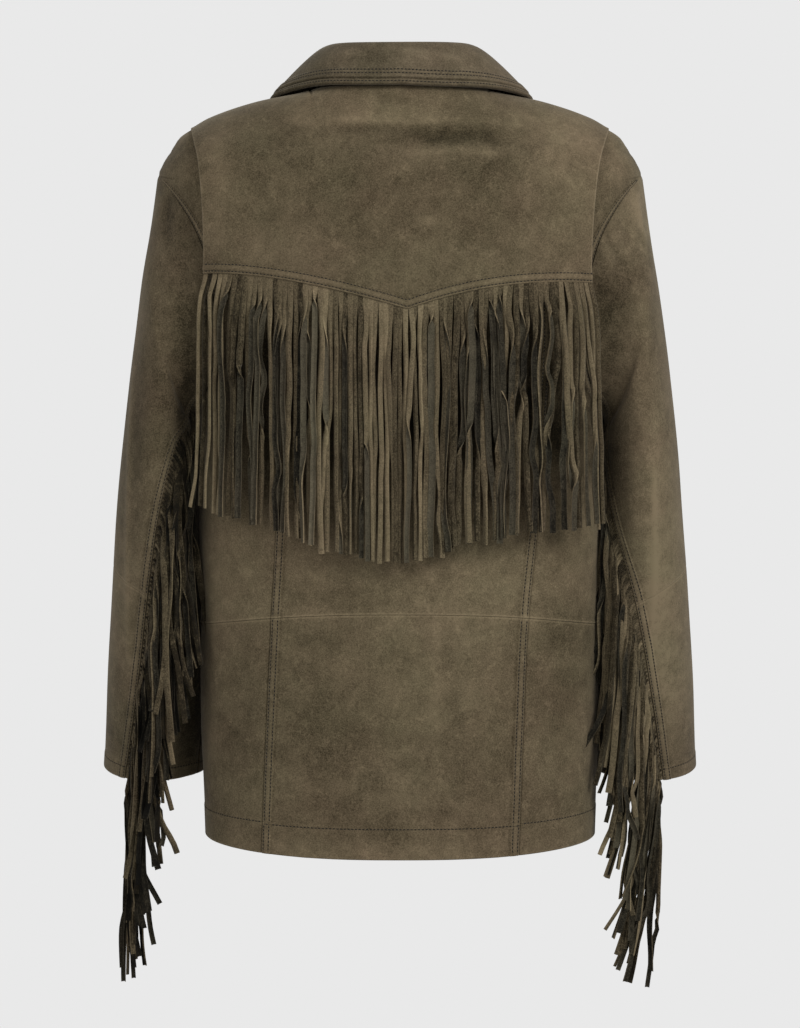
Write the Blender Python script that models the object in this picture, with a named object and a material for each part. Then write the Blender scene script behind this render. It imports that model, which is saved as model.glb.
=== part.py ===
"""A fringed suede jacket in its worn, hollow shape, made of the pieces its maker cuts and sews.

Metres, +Z up. The back of the jacket faces -Y and the wearer's right hand is at +X. The origin is
where the wearer holds it up: in the middle of the neck, level with the tops of the shoulders.

Every cloth piece is a wall that follows one of three surfaces: the body, a sleeve or the collar.
Each surface runs through a short table of sections. Angles go round a section: -90 degrees is the
centre back, 0 the wearer's right side, 90 the centre front and 180 the left side.
"""

import math
from collections import namedtuple

import bmesh
import bpy
from mathutils import Vector

# Thicknesses and gaps
SUEDE = 0.0015
COLLAR_SUEDE = 0.0026  # two layers, turned and pressed
SEAM_GAP = 0.0003
FRINGE_GAP = 0.0010  # from the yoke's edge down to the fringe
SLEEVE_SEAM_GAP = 0.0011  # wider, because the walls turn a corner by the armhole
ARMHOLE_GAP = 0.0016
NECK_GAP = 0.0015
NO_GAPS = (0, 0, 0, 0)
SQUARENESS = 2.5  # 2 is an ellipse; more is squarer

# The body, from the hem (row 0) to the neck seam. Each section is a ring: its half width, how far
# it reaches behind and before the side line, and its height at the sides, back and front. centre is
# how far the middle of the back has turned aside there, and seam the distance from that middle to
# each long back seam.
BodySection = namedtuple("BodySection", "name half_width back front z_side z_back z_front centre seam")
BODY = [
    BodySection("hem", 0.181, 0.112, 0.116, -0.681, -0.689, -0.685, -0.009, 0.112),
    BodySection("skirt", 0.1845, 0.108, 0.114, -0.580, -0.580, -0.580, -0.005, 0.112),
    BodySection("waist", 0.1850, 0.103, 0.112, -0.485, -0.471, -0.471, 0.000, 0.112),
    BodySection("ribs", 0.1865, 0.107, 0.120, -0.385, -0.380, -0.380, 0.007, 0.114),
    BodySection("armpit", 0.187, 0.113, 0.126, -0.292, -0.290, -0.294, 0.010, 0.117),
    BodySection("blades", 0.196, 0.116, 0.124, -0.215, -0.225, -0.238, 0.011, 0.120),
    BodySection("chest", 0.209, 0.115, 0.117, -0.138, -0.162, -0.186, 0.011, 0.118),
    BodySection("tip", 0.2222, 0.110, 0.110, -0.0745, -0.107, -0.144, 0.010, 0.112),
    BodySection("drop", 0.2055, 0.104, 0.105, -0.0445, -0.076, -0.126, 0.009, 0.101),
    BodySection("shoulder", 0.178, 0.095, 0.098, -0.0272, -0.058, -0.108, 0.007, 0.086),
    BodySection("slope", 0.136, 0.082, 0.090, -0.0122, -0.032, -0.090, 0.004, 0.067),
    BodySection("neck", 0.080, 0.066, 0.082, -0.001, 0.005, -0.072, 0.000, 0.044),
]
HEM, WAIST, ARMPIT, TIP, NECK = 0, 2, 4, 7, len(BODY) - 1
ARMHOLE_REACH = math.radians(38)  # how far the armhole cuts into the back and the front
ARMHOLE_SQUARENESS = 2.4

# A sleeve, from the armhole (row 0) to the cuff. Each ring runs from its outer to its inner edge,
# leans forward with the arm, and is turned so that the fringed seam lies where it should.
SleeveSection = namedtuple(
    "SleeveSection", "name x_out z_out x_in z_in middle depth lean turn_left turn_right"
)
SLEEVE = [
    SleeveSection("armhole", 0.2222, -0.0745, 0.187, -0.292, 0.000, 0.075, 0, 0, 0),
    SleeveSection("cap", 0.2306, -0.127, 0.190, -0.307, -0.002, 0.072, 0, 0, 6),
    SleeveSection("upper arm", 0.2397, -0.182, 0.190, -0.320, -0.002, 0.073, 0, -4, 12),
    SleeveSection("biceps", 0.2497, -0.258, 0.1893, -0.354, 0.000, 0.072, 0, -26, 8),
    SleeveSection("above elbow", 0.2596, -0.343, 0.1885, -0.412, 0.003, 0.068, 2, -45, -10),
    SleeveSection("elbow", 0.2673, -0.432, 0.1878, -0.474, 0.012, 0.063, 6, -57, -36),
    SleeveSection("forearm", 0.2757, -0.528, 0.1878, -0.552, 0.032, 0.057, 9, -66, -54),
    SleeveSection("cuff", 0.2828, -0.626, 0.190, -0.629, 0.058, 0.052, 9, -77, -67),
]
ELBOW, CUFF = 5, len(SLEEVE) - 1
SLEEVE_RISE = 0.001  # the sleeve's upper edge stands this proud of the body
SLEEVE_COLUMNS = 20
BACK_SEAM, FRONT_SEAM = 8, 13  # columns: the fringed seam and the one under the arm

# The overlaid yoke. Its outer corners lie on the shoulder seams, its sides run in to the lower
# corners, and its lower edge falls in a curve from each corner to a point near the middle.
YokeSide = namedtuple("YokeSide", "top_row corner_x corner_z bend")
YOKE_LEFT = YokeSide(8.6, -0.1695, -0.1668, 1.55)
YOKE_RIGHT = YokeSide(8.6, 0.1655, -0.1753, 2.3)
YOKE_POINT_X, YOKE_POINT_Z = 0.0067, -0.2008
YOKE_NECK_ROW = 10.85  # just short of the collar
YOKE_NECK_SHARE = 0.4  # the share of its width that lies against the neck seam
YOKE_LIFT, YOKE_CORNER_LIFT = 0.0041, 0.010  # clear of the back, and of the armhole seams at its corners
YOKE_CORNER_SHARE = 0.3  # the share of each half that rises to the corner lift
YOKE_CORNER_RISE = 1.6  # how soon it rises, going down: it is up after 1 / 1.6 of the yoke's height
YOKE_ROW_POWER = 1.8  # its rows crowd together at the top, where it bends most

# Fringe: how far it hangs and stands off, and how far each sleeve's fringe swings in below
FRINGE_DROP = 0.213
FRINGE_OUTSET = 0.003  # it reaches past the yoke's corners
FRINGE_THICK = 0.006
SLEEVE_FRINGE_DROP = 0.201
SLEEVE_FRINGE_LEFT, SLEEVE_FRINGE_RIGHT = (1.6, 6.9), (2.85, 6.9)  # the sleeve rows it hangs between
SLEEVE_FRINGE_LIFT, SLEEVE_FRINGE_THICK = 0.004, 0.010
SWING_LEFT, SWING_RIGHT = 0.001, 0.013
SWING_TOP_SHARE = 0.2  # the share of its swing that the fringe has at its upper end

# The collar: its fold, as a section, and its outer edge, on the body surface moved out.
FOLD = BodySection("fold", 0.067, 0.063, 0.077, 0.0390, 0.0357, -0.040, 0, 0)
CollarEdge = namedtuple("CollarEdge", "turn row lift")
COLLAR_EDGE = [
    CollarEdge(0, 10.72, 0.012),
    CollarEdge(45, 10.6, 0.010),
    CollarEdge(90, 10.25, 0.0055),
    CollarEdge(135, 10.0, 0.0065),
    CollarEdge(180, 9.65, 0.0065),
]
STAND_END, FALL_END_FOLD, FALL_END_EDGE = 174, 176, 158  # degrees round from the centre back
FOLD_RISE = 0.0024
ROLL_OUT, ROLL_UP = 0.0108, 0.004
FALL_INSET = 0.001

# The front closing
OVERLAP_HALF = 0.016
OVERLAP_LIFT = SUEDE + 0.0012
OVERLAP_START, OVERLAP_END = 0.070, 0.024  # where the lift begins and where it is whole, from the middle
BUTTON_HEIGHTS = (-0.110, -0.232, -0.354, -0.476, -0.598)
BUTTON_RADIUS = 0.0095
BUTTON_SIDES = 16
BUTTON_PROFILE = ((0.86, 0), (1, 0.12), (1, 0.27), (0.9, 0.38), (0.74, 0.38), (0.6, 0.27))  # radius, rise

# Colours (linear) and finish
BROWN_SUEDE = ((0.107, 0.082, 0.048, 1), 0.95)
DARK_HORN = ((0.030, 0.022, 0.016, 1), 0.35)

STEP = 0.01  # for slopes, in rows and in shares of a width


def clear_scene():
    for thing in list(bpy.data.objects):
        bpy.data.objects.remove(thing)


def material(name, look):
    colour, roughness = look
    made = bpy.data.materials.new(name)
    made.use_nodes = True
    shader = made.node_tree.nodes["Principled BSDF"]
    shader.inputs["Base Color"].default_value = colour
    shader.inputs["Roughness"].default_value = roughness
    shader.inputs["Metallic"].default_value = 0
    return made


# ---- Curves through the tables


def mix(a, b, share):
    return a + (b - a) * share


def ease(share):
    share = min(max(share, 0), 1)
    return share * share * (3 - 2 * share)


def smooth(values, position):
    """The value at a position along a list, on a smooth curve through it."""
    last = len(values) - 1
    low = min(max(int(position), 0), last - 1)
    t = position - low
    one, two = values[low], values[low + 1]
    before = values[low - 1] if low > 0 else one * 2 - two
    after = values[low + 2] if low + 2 <= last else two * 2 - one
    return (
        one * 2 + (two - before) * t
        + (before * 2 - one * 5 + two * 4 - after) * t**2
        + (one * 3 - before - two * 3 + after) * t**3
    ) * 0.5


def column(table, name, position):
    return smooth([getattr(row, name) for row in table], position)


# ---- The body surface


def ring_point(angle, half_width, back, front, z_side, z_back, z_front):
    """A point on a squared ring whose height changes from its sides to its back and front."""
    c, s = math.cos(angle), math.sin(angle)
    power = 2 / SQUARENESS
    depth, z_end = (front, z_front) if s > 0 else (back, z_back)
    return Vector((
        math.copysign(abs(c) ** power, c) * half_width,
        math.copysign(abs(s) ** power, s) * depth,
        mix(z_side, z_end, s * s),
    ))


def body_point(angle, row):
    return ring_point(angle, *(column(BODY, name, row) for name in BodySection._fields[1:7]))


def body_normal(angle, row):
    row = min(max(row, HEM + STEP), NECK - STEP)
    across = body_point(angle + STEP, row) - body_point(angle - STEP, row)
    up = body_point(angle, row + STEP) - body_point(angle, row - STEP)
    return across.cross(up).normalized()


def angle_at(x, row, front=False):
    """The angle at which a body section reaches this x, on the back or the front."""
    share = min(abs(x) / column(BODY, "half_width", row), 1)
    from_side = math.acos(share ** (SQUARENESS / 2))
    angle = from_side if x > 0 else math.pi - from_side
    return angle if front else -angle


def row_at(x, z, front=False):
    """The row at which the body surface has this height, at this x."""
    low, high = float(HEM), float(TIP)
    for _ in range(30):
        middle = (low + high) / 2
        if body_point(angle_at(x, middle, front), middle).z < z:
            low = middle
        else:
            high = middle
    return (low + high) / 2


def armhole_angle(row):
    """How far from the side the armhole has cut the cloth away at this row."""
    share = (row - ARMPIT) / (TIP - ARMPIT)
    if not 0 < share < 1:
        return 0.0
    return ARMHOLE_REACH * (1 - abs(2 * share - 1) ** ARMHOLE_SQUARENESS) ** (1 / ARMHOLE_SQUARENESS)


def armhole_rows():
    """The rows at which the sleeve's columns meet the armhole, from the armpit to the tip."""
    steps = SLEEVE_COLUMNS // 2
    return [mix(ARMPIT, TIP, (1 - math.cos(math.pi * k / steps)) / 2) for k in range(steps + 1)]


BODY_LOW_ROWS = [0, 0.5, 1, 1.5, WAIST]
BODY_HIGH_ROWS = [WAIST, 2.5, 3, 3.5] + armhole_rows() + [7.5, 8, 8.5, 9, 9.5, 10, 10.5, NECK]
BODY_FRONT_ROWS = BODY_LOW_ROWS[:-1] + BODY_HIGH_ROWS


def back_angle(edge, row):
    """The angle of one of the back's four lines: both sides and both long seams."""
    middle, away = column(BODY, "centre", row), column(BODY, "seam", row)
    lines = {
        "left side": -math.pi + armhole_angle(row),
        "left seam": angle_at(middle - away, row),
        "right seam": angle_at(middle + away, row),
        "right side": -armhole_angle(row),
    }
    return lines[edge]


def back_surface(first, last):
    def surface(u, row):
        angle = mix(back_angle(first, row), back_angle(last, row), u)
        return body_point(angle, row), body_normal(angle, row)

    return surface


def front_lift(x, under):
    """The upper front is lifted over the lower one where they overlap."""
    return 0 if under else OVERLAP_LIFT * ease((OVERLAP_START - x) / (OVERLAP_START - OVERLAP_END))


def front_surface(side):
    """side 1 is the wearer's right front, which laps over the left. u runs from the right to the left."""

    def surface(u, row):
        middle = angle_at(-OVERLAP_HALF * side, row, front=True)
        outer = 0 if side > 0 else math.pi
        from_side = u if side > 0 else 1 - u
        angle = mix(outer, middle, from_side) + side * armhole_angle(row) * (1 - from_side) ** 2
        point, normal = body_point(angle, row), body_normal(angle, row)
        return point + normal * front_lift(point.x, side < 0), normal

    return surface


# ---- The sleeve surface


def armhole_point(side, angle):
    """The armhole seam; angle 0 is the shoulder tip, 90 degrees the back and 180 the armpit."""
    row = mix(ARMPIT, TIP, (1 + math.cos(angle)) / 2)
    cut = math.copysign(armhole_angle(row), math.sin(angle))
    point = body_point(-cut, row) + body_normal(-cut, row) * SLEEVE_RISE
    return Vector((point.x * side, point.y, point.z))


def sleeve_ring(side, number, angle):
    if number == 0:
        return armhole_point(side, angle)
    ring = SLEEVE[number]
    angle += math.radians(ring.turn_right if side > 0 else ring.turn_left)
    lean = math.radians(ring.lean)
    centre = Vector(((ring.x_out + ring.x_in) / 2, ring.middle, (ring.z_out + ring.z_in) / 2))
    across = Vector(((ring.x_out - ring.x_in) / 2, 0, (ring.z_out - ring.z_in) / 2))
    back = Vector((0, -math.cos(lean), -math.sin(lean))) * ring.depth
    point = centre + across * math.cos(angle) + back * math.sin(angle)
    return Vector((point.x * side, point.y, point.z))


def sleeve_point(side, angle, row):
    low = min(int(row), CUFF - 1)
    first, last = max(low - 1, 0), min(low + 2, CUFF)
    rings = [sleeve_ring(side, number, angle) for number in range(first, last + 1)]
    return smooth(rings, row - first)


def sleeve_normal(side, angle, row):
    row = min(max(row, STEP), CUFF - STEP)
    around = sleeve_point(side, angle + STEP, row) - sleeve_point(side, angle - STEP, row)
    along = sleeve_point(side, angle, row + STEP) - sleeve_point(side, angle, row - STEP)
    return around.cross(along).normalized() * side


def sleeve_surface(side, first, last):
    """Columns first to last, counted from the shoulder tip round by the back."""

    def surface(u, row):
        angle = math.radians(mix(first, last, u) * 360 / SLEEVE_COLUMNS)
        return sleeve_point(side, angle, row), sleeve_normal(side, angle, row)

    return surface


# ---- The yoke and the fringe


def yoke_side(x):
    return YOKE_LEFT if x < YOKE_POINT_X else YOKE_RIGHT


def yoke_hem_z(x):
    side = yoke_side(x)
    share = min((x - YOKE_POINT_X) / (side.corner_x - YOKE_POINT_X), 1)
    return mix(side.corner_z, YOKE_POINT_Z, (1 - share) ** side.bend)


def yoke_top(u):
    """The row and x of the yoke's upper edge, along a shoulder seam, the neck seam and the other shoulder."""
    side = YOKE_LEFT if u < 0.5 else YOKE_RIGHT
    edge = abs(2 * u - 1)
    if edge > YOKE_NECK_SHARE:
        row = mix(YOKE_NECK_ROW, side.top_row, (edge - YOKE_NECK_SHARE) / (1 - YOKE_NECK_SHARE))
        reach = 1
    else:
        row = YOKE_NECK_ROW
        reach = edge / YOKE_NECK_SHARE
    return row, math.copysign(column(BODY, "half_width", row) * reach, side.corner_x)


def yoke_hem_x(u):
    side = YOKE_LEFT if u < 0.5 else YOKE_RIGHT
    return mix(YOKE_POINT_X, side.corner_x, abs(2 * u - 1))


def yoke_place(u, down):
    """Where on the body the yoke lies, and how far out; u runs from left to right, down from top to hem."""
    top_row, top_x = yoke_top(u)
    low_x = yoke_hem_x(u)
    x = mix(top_x, low_x, 1 - (1 - down) ** 2)
    row = mix(top_row, row_at(low_x, yoke_hem_z(low_x)), down)
    edge = abs(2 * u - 1)
    corner = ease((edge - 1 + YOKE_CORNER_SHARE) / YOKE_CORNER_SHARE) * ease(down * YOKE_CORNER_RISE)
    lift = mix(YOKE_LIFT, YOKE_CORNER_LIFT, corner)
    return angle_at(x, row), row, lift


def yoke_surface(u, down):
    angle, row, lift = yoke_place(u, down)
    normal = body_normal(angle, row)
    return body_point(angle, row) + normal * (lift + SUEDE), normal


def back_fringe_surface(u, down):
    """It hangs straight down from the yoke's lower edge."""
    angle, row, lift = yoke_place(u, 1)
    normal = body_normal(angle, row)
    level = Vector((normal.x, normal.y, 0)).normalized()
    point = body_point(angle, row) + level * (lift + FRINGE_THICK)
    point.x += (2 * u - 1) * FRINGE_OUTSET
    point.z = yoke_hem_z(yoke_hem_x(u)) - FRINGE_GAP - FRINGE_DROP * down
    return point, level


def sleeve_fringe_surface(side):
    """It hangs from the seam behind the arm, and swings in towards the body below."""
    swing, rows = (SWING_RIGHT, SLEEVE_FRINGE_RIGHT) if side > 0 else (SWING_LEFT, SLEEVE_FRINGE_LEFT)
    stand_off = SLEEVE_FRINGE_LIFT + SLEEVE_FRINGE_THICK

    def surface(u, down):
        row = mix(*rows, u)
        seam = sleeve_point(side, math.radians(BACK_SEAM * 360 / SLEEVE_COLUMNS), row)
        swung = swing * mix(SWING_TOP_SHARE, 1, u) * down**2
        return seam + Vector((-side * swung, -stand_off, -SLEEVE_FRINGE_DROP * down)), Vector((0, -1, 0))

    return surface


# ---- The collar surface


def fold_point(turn):
    return ring_point(math.radians(turn - 90), *FOLD[1:7])


def collar_edge_point(turn):
    place = abs(turn) / 45
    row, lift = column(COLLAR_EDGE, "row", place), column(COLLAR_EDGE, "lift", place)
    angle = math.radians(turn - 90)
    return body_point(angle, row) + body_normal(angle, row) * (lift + COLLAR_SUEDE)


def outward_at(turn):
    angle = math.radians(turn - 90)
    return Vector((math.cos(angle), math.sin(angle), 0))


def stand_point(u, up):
    turn = mix(-STAND_END, STAND_END, u)
    return body_point(math.radians(turn - 90), NECK).lerp(fold_point(turn), up)


def fall_point(u, down):
    turn = mix(-1, 1, u) * mix(FALL_END_FOLD, FALL_END_EDGE, down)
    start = fold_point(turn) + Vector((0, 0, COLLAR_SUEDE + FOLD_RISE)) - outward_at(turn) * FALL_INSET
    roll = start + outward_at(turn) * ROLL_OUT + Vector((0, 0, ROLL_UP))
    edge = collar_edge_point(turn)
    return start.lerp(roll, down).lerp(roll.lerp(edge, down), down)


def with_normal(point_of, flip=1):
    """Adds the normal, from the slope of the surface, to a surface given by its points."""

    def surface(u, v):
        u_mid, v_mid = min(max(u, STEP), 1 - STEP), min(max(v, STEP), 1 - STEP)
        across = point_of(u_mid + STEP, v_mid) - point_of(u_mid - STEP, v_mid)
        along = point_of(u_mid, v_mid + STEP) - point_of(u_mid, v_mid - STEP)
        return point_of(u, v), across.cross(along).normalized() * flip

    return surface


# ---- Making the pieces


def inside_border(surface, u, v, v_span, gaps):
    """The same place, or on the border half a seam gap inside it. gaps are left, right, first, last."""
    here = surface(u, v)[0]
    if u in (0, 1) and gaps[int(u)]:
        way = 1 - 2 * u
        u += way * STEP * gaps[int(u)] / 2 / (surface(u + way * STEP, v)[0] - here).length
    if v in v_span and gaps[2 + v_span.index(v)]:
        end = v_span.index(v)
        way = math.copysign(STEP, v_span[1 - end] - v_span[end])
        v += way * gaps[2 + end] / 2 / (surface(u, v + way)[0] - here).length
    return surface(u, v)


def wall(name, columns, rows, surface, thickness, look, gaps):
    """A closed wall under a surface: a column of facets for each step of u, and a row for each of rows."""
    bm = bmesh.new()
    bmesh.ops.create_grid(bm, x_segments=columns, y_segments=len(rows) - 1, size=0.5)
    bmesh.ops.triangulate(bm, faces=bm.faces, quad_method="FIXED")
    grown = bmesh.ops.extrude_face_region(bm, geom=bm.faces[:])["geom"]
    outer = {vert for vert in grown if isinstance(vert, bmesh.types.BMVert)}
    for vert in bm.verts:
        u = round((vert.co.x + 0.5) * columns) / columns
        v = rows[round((vert.co.y + 0.5) * (len(rows) - 1))]
        point, normal = inside_border(surface, u, v, (rows[0], rows[-1]), gaps)
        vert.co = point if vert in outer else point - normal * thickness
    return finish_piece(name, bm, look)


def finish_piece(name, bm, look):
    bmesh.ops.recalc_face_normals(bm, faces=bm.faces)
    mesh = bpy.data.meshes.new(name)
    bm.to_mesh(mesh)
    bm.free()
    mesh.shade_smooth()
    mesh.set_sharp_from_angle(angle=math.radians(40))
    mesh.materials.append(look)
    piece = bpy.data.objects.new(name, mesh)
    bpy.context.collection.objects.link(piece)
    return piece


def even(count):
    return [k / count for k in range(count + 1)]


def make_back(suede):
    hole, seam = ARMHOLE_GAP, SEAM_GAP
    strips = (
        ("side_left", "left side", "left seam", 3, (hole, seam)),
        ("centre", "left seam", "right seam", 7, (seam, seam)),
        ("side_right", "right seam", "right side", 3, (seam, hole)),
    )
    for name, first, last, columns, sides in strips:
        surface = back_surface(first, last)
        wall(f"back_{name}_lower", columns, BODY_LOW_ROWS, surface, SUEDE, suede, (seam, seam, 0, seam))
        wall(f"back_{name}_upper", columns, BODY_HIGH_ROWS, surface, SUEDE, suede, (*sides, seam, seam))


def make_fronts(suede):
    hole, seam = ARMHOLE_GAP, SEAM_GAP
    wall("front_right", 8, BODY_FRONT_ROWS, front_surface(1), SUEDE, suede, (hole, 0, 0, seam))
    wall("front_left", 8, BODY_FRONT_ROWS, front_surface(-1), SUEDE, suede, (0, hole, 0, seam))


def make_sleeve(side, suede):
    word = "right" if side > 0 else "left"
    upper_rows = [0, 0.35, 0.7, 1, 1.5, 2, 2.5, 3, 3.5, 4, 4.5, ELBOW]
    lower_rows = [ELBOW, 5.5, 6, 6.5, CUFF]
    top = sleeve_surface(side, FRONT_SEAM, BACK_SEAM + SLEEVE_COLUMNS)
    under = sleeve_surface(side, BACK_SEAM, FRONT_SEAM)
    top_columns = SLEEVE_COLUMNS - FRONT_SEAM + BACK_SEAM
    hole, seam = ARMHOLE_GAP, SLEEVE_SEAM_GAP
    wall(f"top_sleeve_{word}_upper", top_columns, upper_rows, top, SUEDE, suede, (seam, seam, hole, seam))
    wall(f"top_sleeve_{word}_lower", top_columns, lower_rows, top, SUEDE, suede, (seam, seam, seam, 0))
    under_rows = upper_rows + lower_rows[1:]
    under_columns = FRONT_SEAM - BACK_SEAM
    wall(f"under_sleeve_{word}", under_columns, under_rows, under, SUEDE, suede, (seam, seam, hole, 0))
    fringe = sleeve_fringe_surface(side)
    wall(f"sleeve_fringe_{word}", 12, even(3), fringe, SLEEVE_FRINGE_THICK, suede, NO_GAPS)


def make_yoke_and_fringe(suede):
    yoke_rows = [share**YOKE_ROW_POWER for share in even(10)]
    wall("yoke", 20, yoke_rows, yoke_surface, SUEDE, suede, NO_GAPS)
    wall("back_fringe", 20, even(2), back_fringe_surface, FRINGE_THICK, suede, NO_GAPS)


def make_collar(suede):
    stand_gaps = (0, 0, NECK_GAP, SEAM_GAP)
    wall("collar_stand", 24, even(2), with_normal(stand_point), COLLAR_SUEDE, suede, stand_gaps)
    wall("collar_fall", 24, even(4), with_normal(fall_point, -1), COLLAR_SUEDE, suede, NO_GAPS)


def make_button(number, height, horn):
    """A turned button: a disc with a rounded rim and a dished middle."""
    row = row_at(0, height, front=True)
    normal = body_normal(math.pi / 2, row)
    foot = body_point(math.pi / 2, row) + normal * (OVERLAP_LIFT + SEAM_GAP)
    turn = Vector((0, 0, 1)).rotation_difference(normal).to_matrix()
    bm = bmesh.new()
    rings = []
    for radius, rise in BUTTON_PROFILE:
        ring = []
        for k in range(BUTTON_SIDES):
            angle = 2 * math.pi * k / BUTTON_SIDES
            place = Vector((math.cos(angle) * radius, math.sin(angle) * radius, rise))
            ring.append(bm.verts.new(foot + turn @ (place * BUTTON_RADIUS)))
        rings.append(ring)
    for low, high in zip(rings, rings[1:]):
        for k in range(BUTTON_SIDES):
            after = (k + 1) % BUTTON_SIDES
            bm.faces.new((low[k], low[after], high[after], high[k]))
    bm.faces.new(reversed(rings[0]))
    bm.faces.new(rings[-1])
    return finish_piece(f"button_{number}", bm, horn)


def main():
    clear_scene()
    suede = material("brown_suede", BROWN_SUEDE)
    horn = material("dark_horn", DARK_HORN)
    make_back(suede)
    make_fronts(suede)
    for side in (1, -1):
        make_sleeve(side, suede)
    make_yoke_and_fringe(suede)
    make_collar(suede)
    for number, height in enumerate(BUTTON_HEIGHTS, start=1):
        make_button(number, height, horn)


main()
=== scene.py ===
# %% [markdown]
# # A fringed suede jacket
#
# The jacket is cut from soft brown suede, sewn with double rows of stitches, and hung with long
# cut fringe across the back and down both sleeves. Here it keeps the shape that a wearer gave it,
# with nobody inside. The CAD model says where each piece of cloth lies. This lesson lays a finer
# skin on each of them: seams, hems, creases, stitches, and a strip of suede for every strip of
# fringe.

# %% The fixed frame
import math
from collections import namedtuple
from functools import partial

import bpy
import numpy as np
from mathutils import Matrix, Vector


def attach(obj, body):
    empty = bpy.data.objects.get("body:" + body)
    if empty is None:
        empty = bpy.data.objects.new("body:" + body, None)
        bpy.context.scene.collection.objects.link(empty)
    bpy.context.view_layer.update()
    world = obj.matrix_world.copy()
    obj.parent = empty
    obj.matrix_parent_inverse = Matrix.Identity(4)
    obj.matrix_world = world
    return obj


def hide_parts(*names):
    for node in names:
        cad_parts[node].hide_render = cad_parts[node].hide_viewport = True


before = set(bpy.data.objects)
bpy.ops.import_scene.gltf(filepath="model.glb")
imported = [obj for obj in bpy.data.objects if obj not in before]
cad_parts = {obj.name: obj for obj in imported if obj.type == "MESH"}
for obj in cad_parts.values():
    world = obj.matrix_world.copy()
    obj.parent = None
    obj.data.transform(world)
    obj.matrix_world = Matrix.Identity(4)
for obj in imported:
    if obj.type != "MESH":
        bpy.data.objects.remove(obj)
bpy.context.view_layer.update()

# %% [markdown]
# ## Camera, light and floor
#
# The jacket is seen from behind, from a little over two metres, by a long lens. A pale surround
# lights it softly from all sides, and one big lamp up on the right gives the folds their shape.
# The plain colour transform keeps the browns as they are mixed. Short functions add objects,
# shader nodes and materials, and the whole lesson uses them.

# %% Camera
MM = 0.001
EYE = Vector((0, -2.25, -0.30))
AIM = Vector((0, 0, -0.385))
VIEW_WIDTH = 0.744  # how much the picture takes in, where the jacket stands
SENSOR = 36.0


def add_object(name, data):
    made = bpy.data.objects.new(name, data)
    bpy.context.collection.objects.link(made)
    return made


def face_jacket(obj, place):
    """Puts a camera or a lamp here, turned to the middle of the jacket."""
    obj.location = place
    obj.rotation_euler = (AIM - Vector(place)).to_track_quat("-Z", "Y").to_euler()


lens = bpy.data.cameras.new("camera")
lens.sensor_fit = "HORIZONTAL"
lens.sensor_width = SENSOR
lens.lens = SENSOR * (AIM - EYE).length / VIEW_WIDTH
bpy.context.scene.camera = add_object("camera", lens)
face_jacket(bpy.context.scene.camera, EYE)
print("focal length, mm:", round(lens.lens, 1))


# %% Nodes and materials
def fill(tree, node, inputs):
    """Sets a node's inputs, or links them where the value is another node's output."""
    for key, value in inputs.items():
        if hasattr(value, "links"):
            tree.links.new(value, node.inputs[key])
        else:
            node.inputs[key].default_value = value


def add_node(tree, kind, inputs, **settings):
    made = tree.nodes.new("ShaderNode" + kind)
    for key, value in settings.items():
        setattr(made, key, value)
    fill(tree, made, inputs)
    return made


def add_material(name):
    made = bpy.data.materials.new(name)
    made.use_nodes = True
    return made, made.node_tree, made.node_tree.nodes["Principled BSDF"]


# %% Light
SURROUND, SOFT_LIGHT = (0.815, 0.815, 0.815, 1), (0.50, 0.50, 0.505, 1)  # as seen, and as it lights


def lamp(name, place, size, watts):
    """A soft square lamp."""
    light = bpy.data.lights.new(name, "AREA")
    light.size = size
    light.energy = watts
    face_jacket(add_object(name, light), place)


bpy.context.scene.view_settings.view_transform = "Standard"
world = bpy.data.worlds.new("surround")
world.use_nodes = True
tree = world.node_tree
lighting = tree.nodes["Background"]
fill(tree, lighting, {"Color": SOFT_LIGHT})
seen = add_node(tree, "Background", {"Color": SURROUND})
to_camera = add_node(tree, "LightPath", {}).outputs["Is Camera Ray"]
either = add_node(tree, "MixShader", {"Fac": to_camera, 1: lighting.outputs[0], 2: seen.outputs[0]})
fill(tree, tree.nodes["World Output"], {"Surface": either.outputs["Shader"]})
bpy.context.scene.world = world
lamp("key_lamp", (1.8, -2.2, 1.3), 1.3, 66)
lamp("fill_lamp", (-1.8, -2.3, 0.2), 2.0, 16)

# %% [markdown]
# The floor is a pale disc, well below the jacket, as if it were on a wearer of middle height.

# %% Floor
FLOOR_DROP, FLOOR_RADIUS = 1.42, 2.1


def deselect():
    for chosen in bpy.context.selected_objects:
        chosen.select_set(False)


deselect()
bpy.ops.mesh.primitive_circle_add(vertices=96, radius=FLOOR_RADIUS, fill_type="NGON", location=(0, 0, 0))
floor = bpy.context.object
floor.name = "floor"
for vert in floor.data.vertices:
    vert.co.z = -FLOOR_DROP
pale, tree, shader = add_material("pale_floor")
fill(tree, shader, {"Base Color": (0.62, 0.62, 0.62, 1), "Roughness": 0.9})
floor.data.materials.append(pale)

# %% [markdown]
# ## The shape of the body
#
# A pattern cutter works from a stand, with the body's width and depth known at a few heights.
# These are the same sections as the CAD model's. A smooth curve runs through each column, and each
# section is a squared ring. Arrays hold many points at once, so that a whole panel is placed in
# one step.

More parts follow.
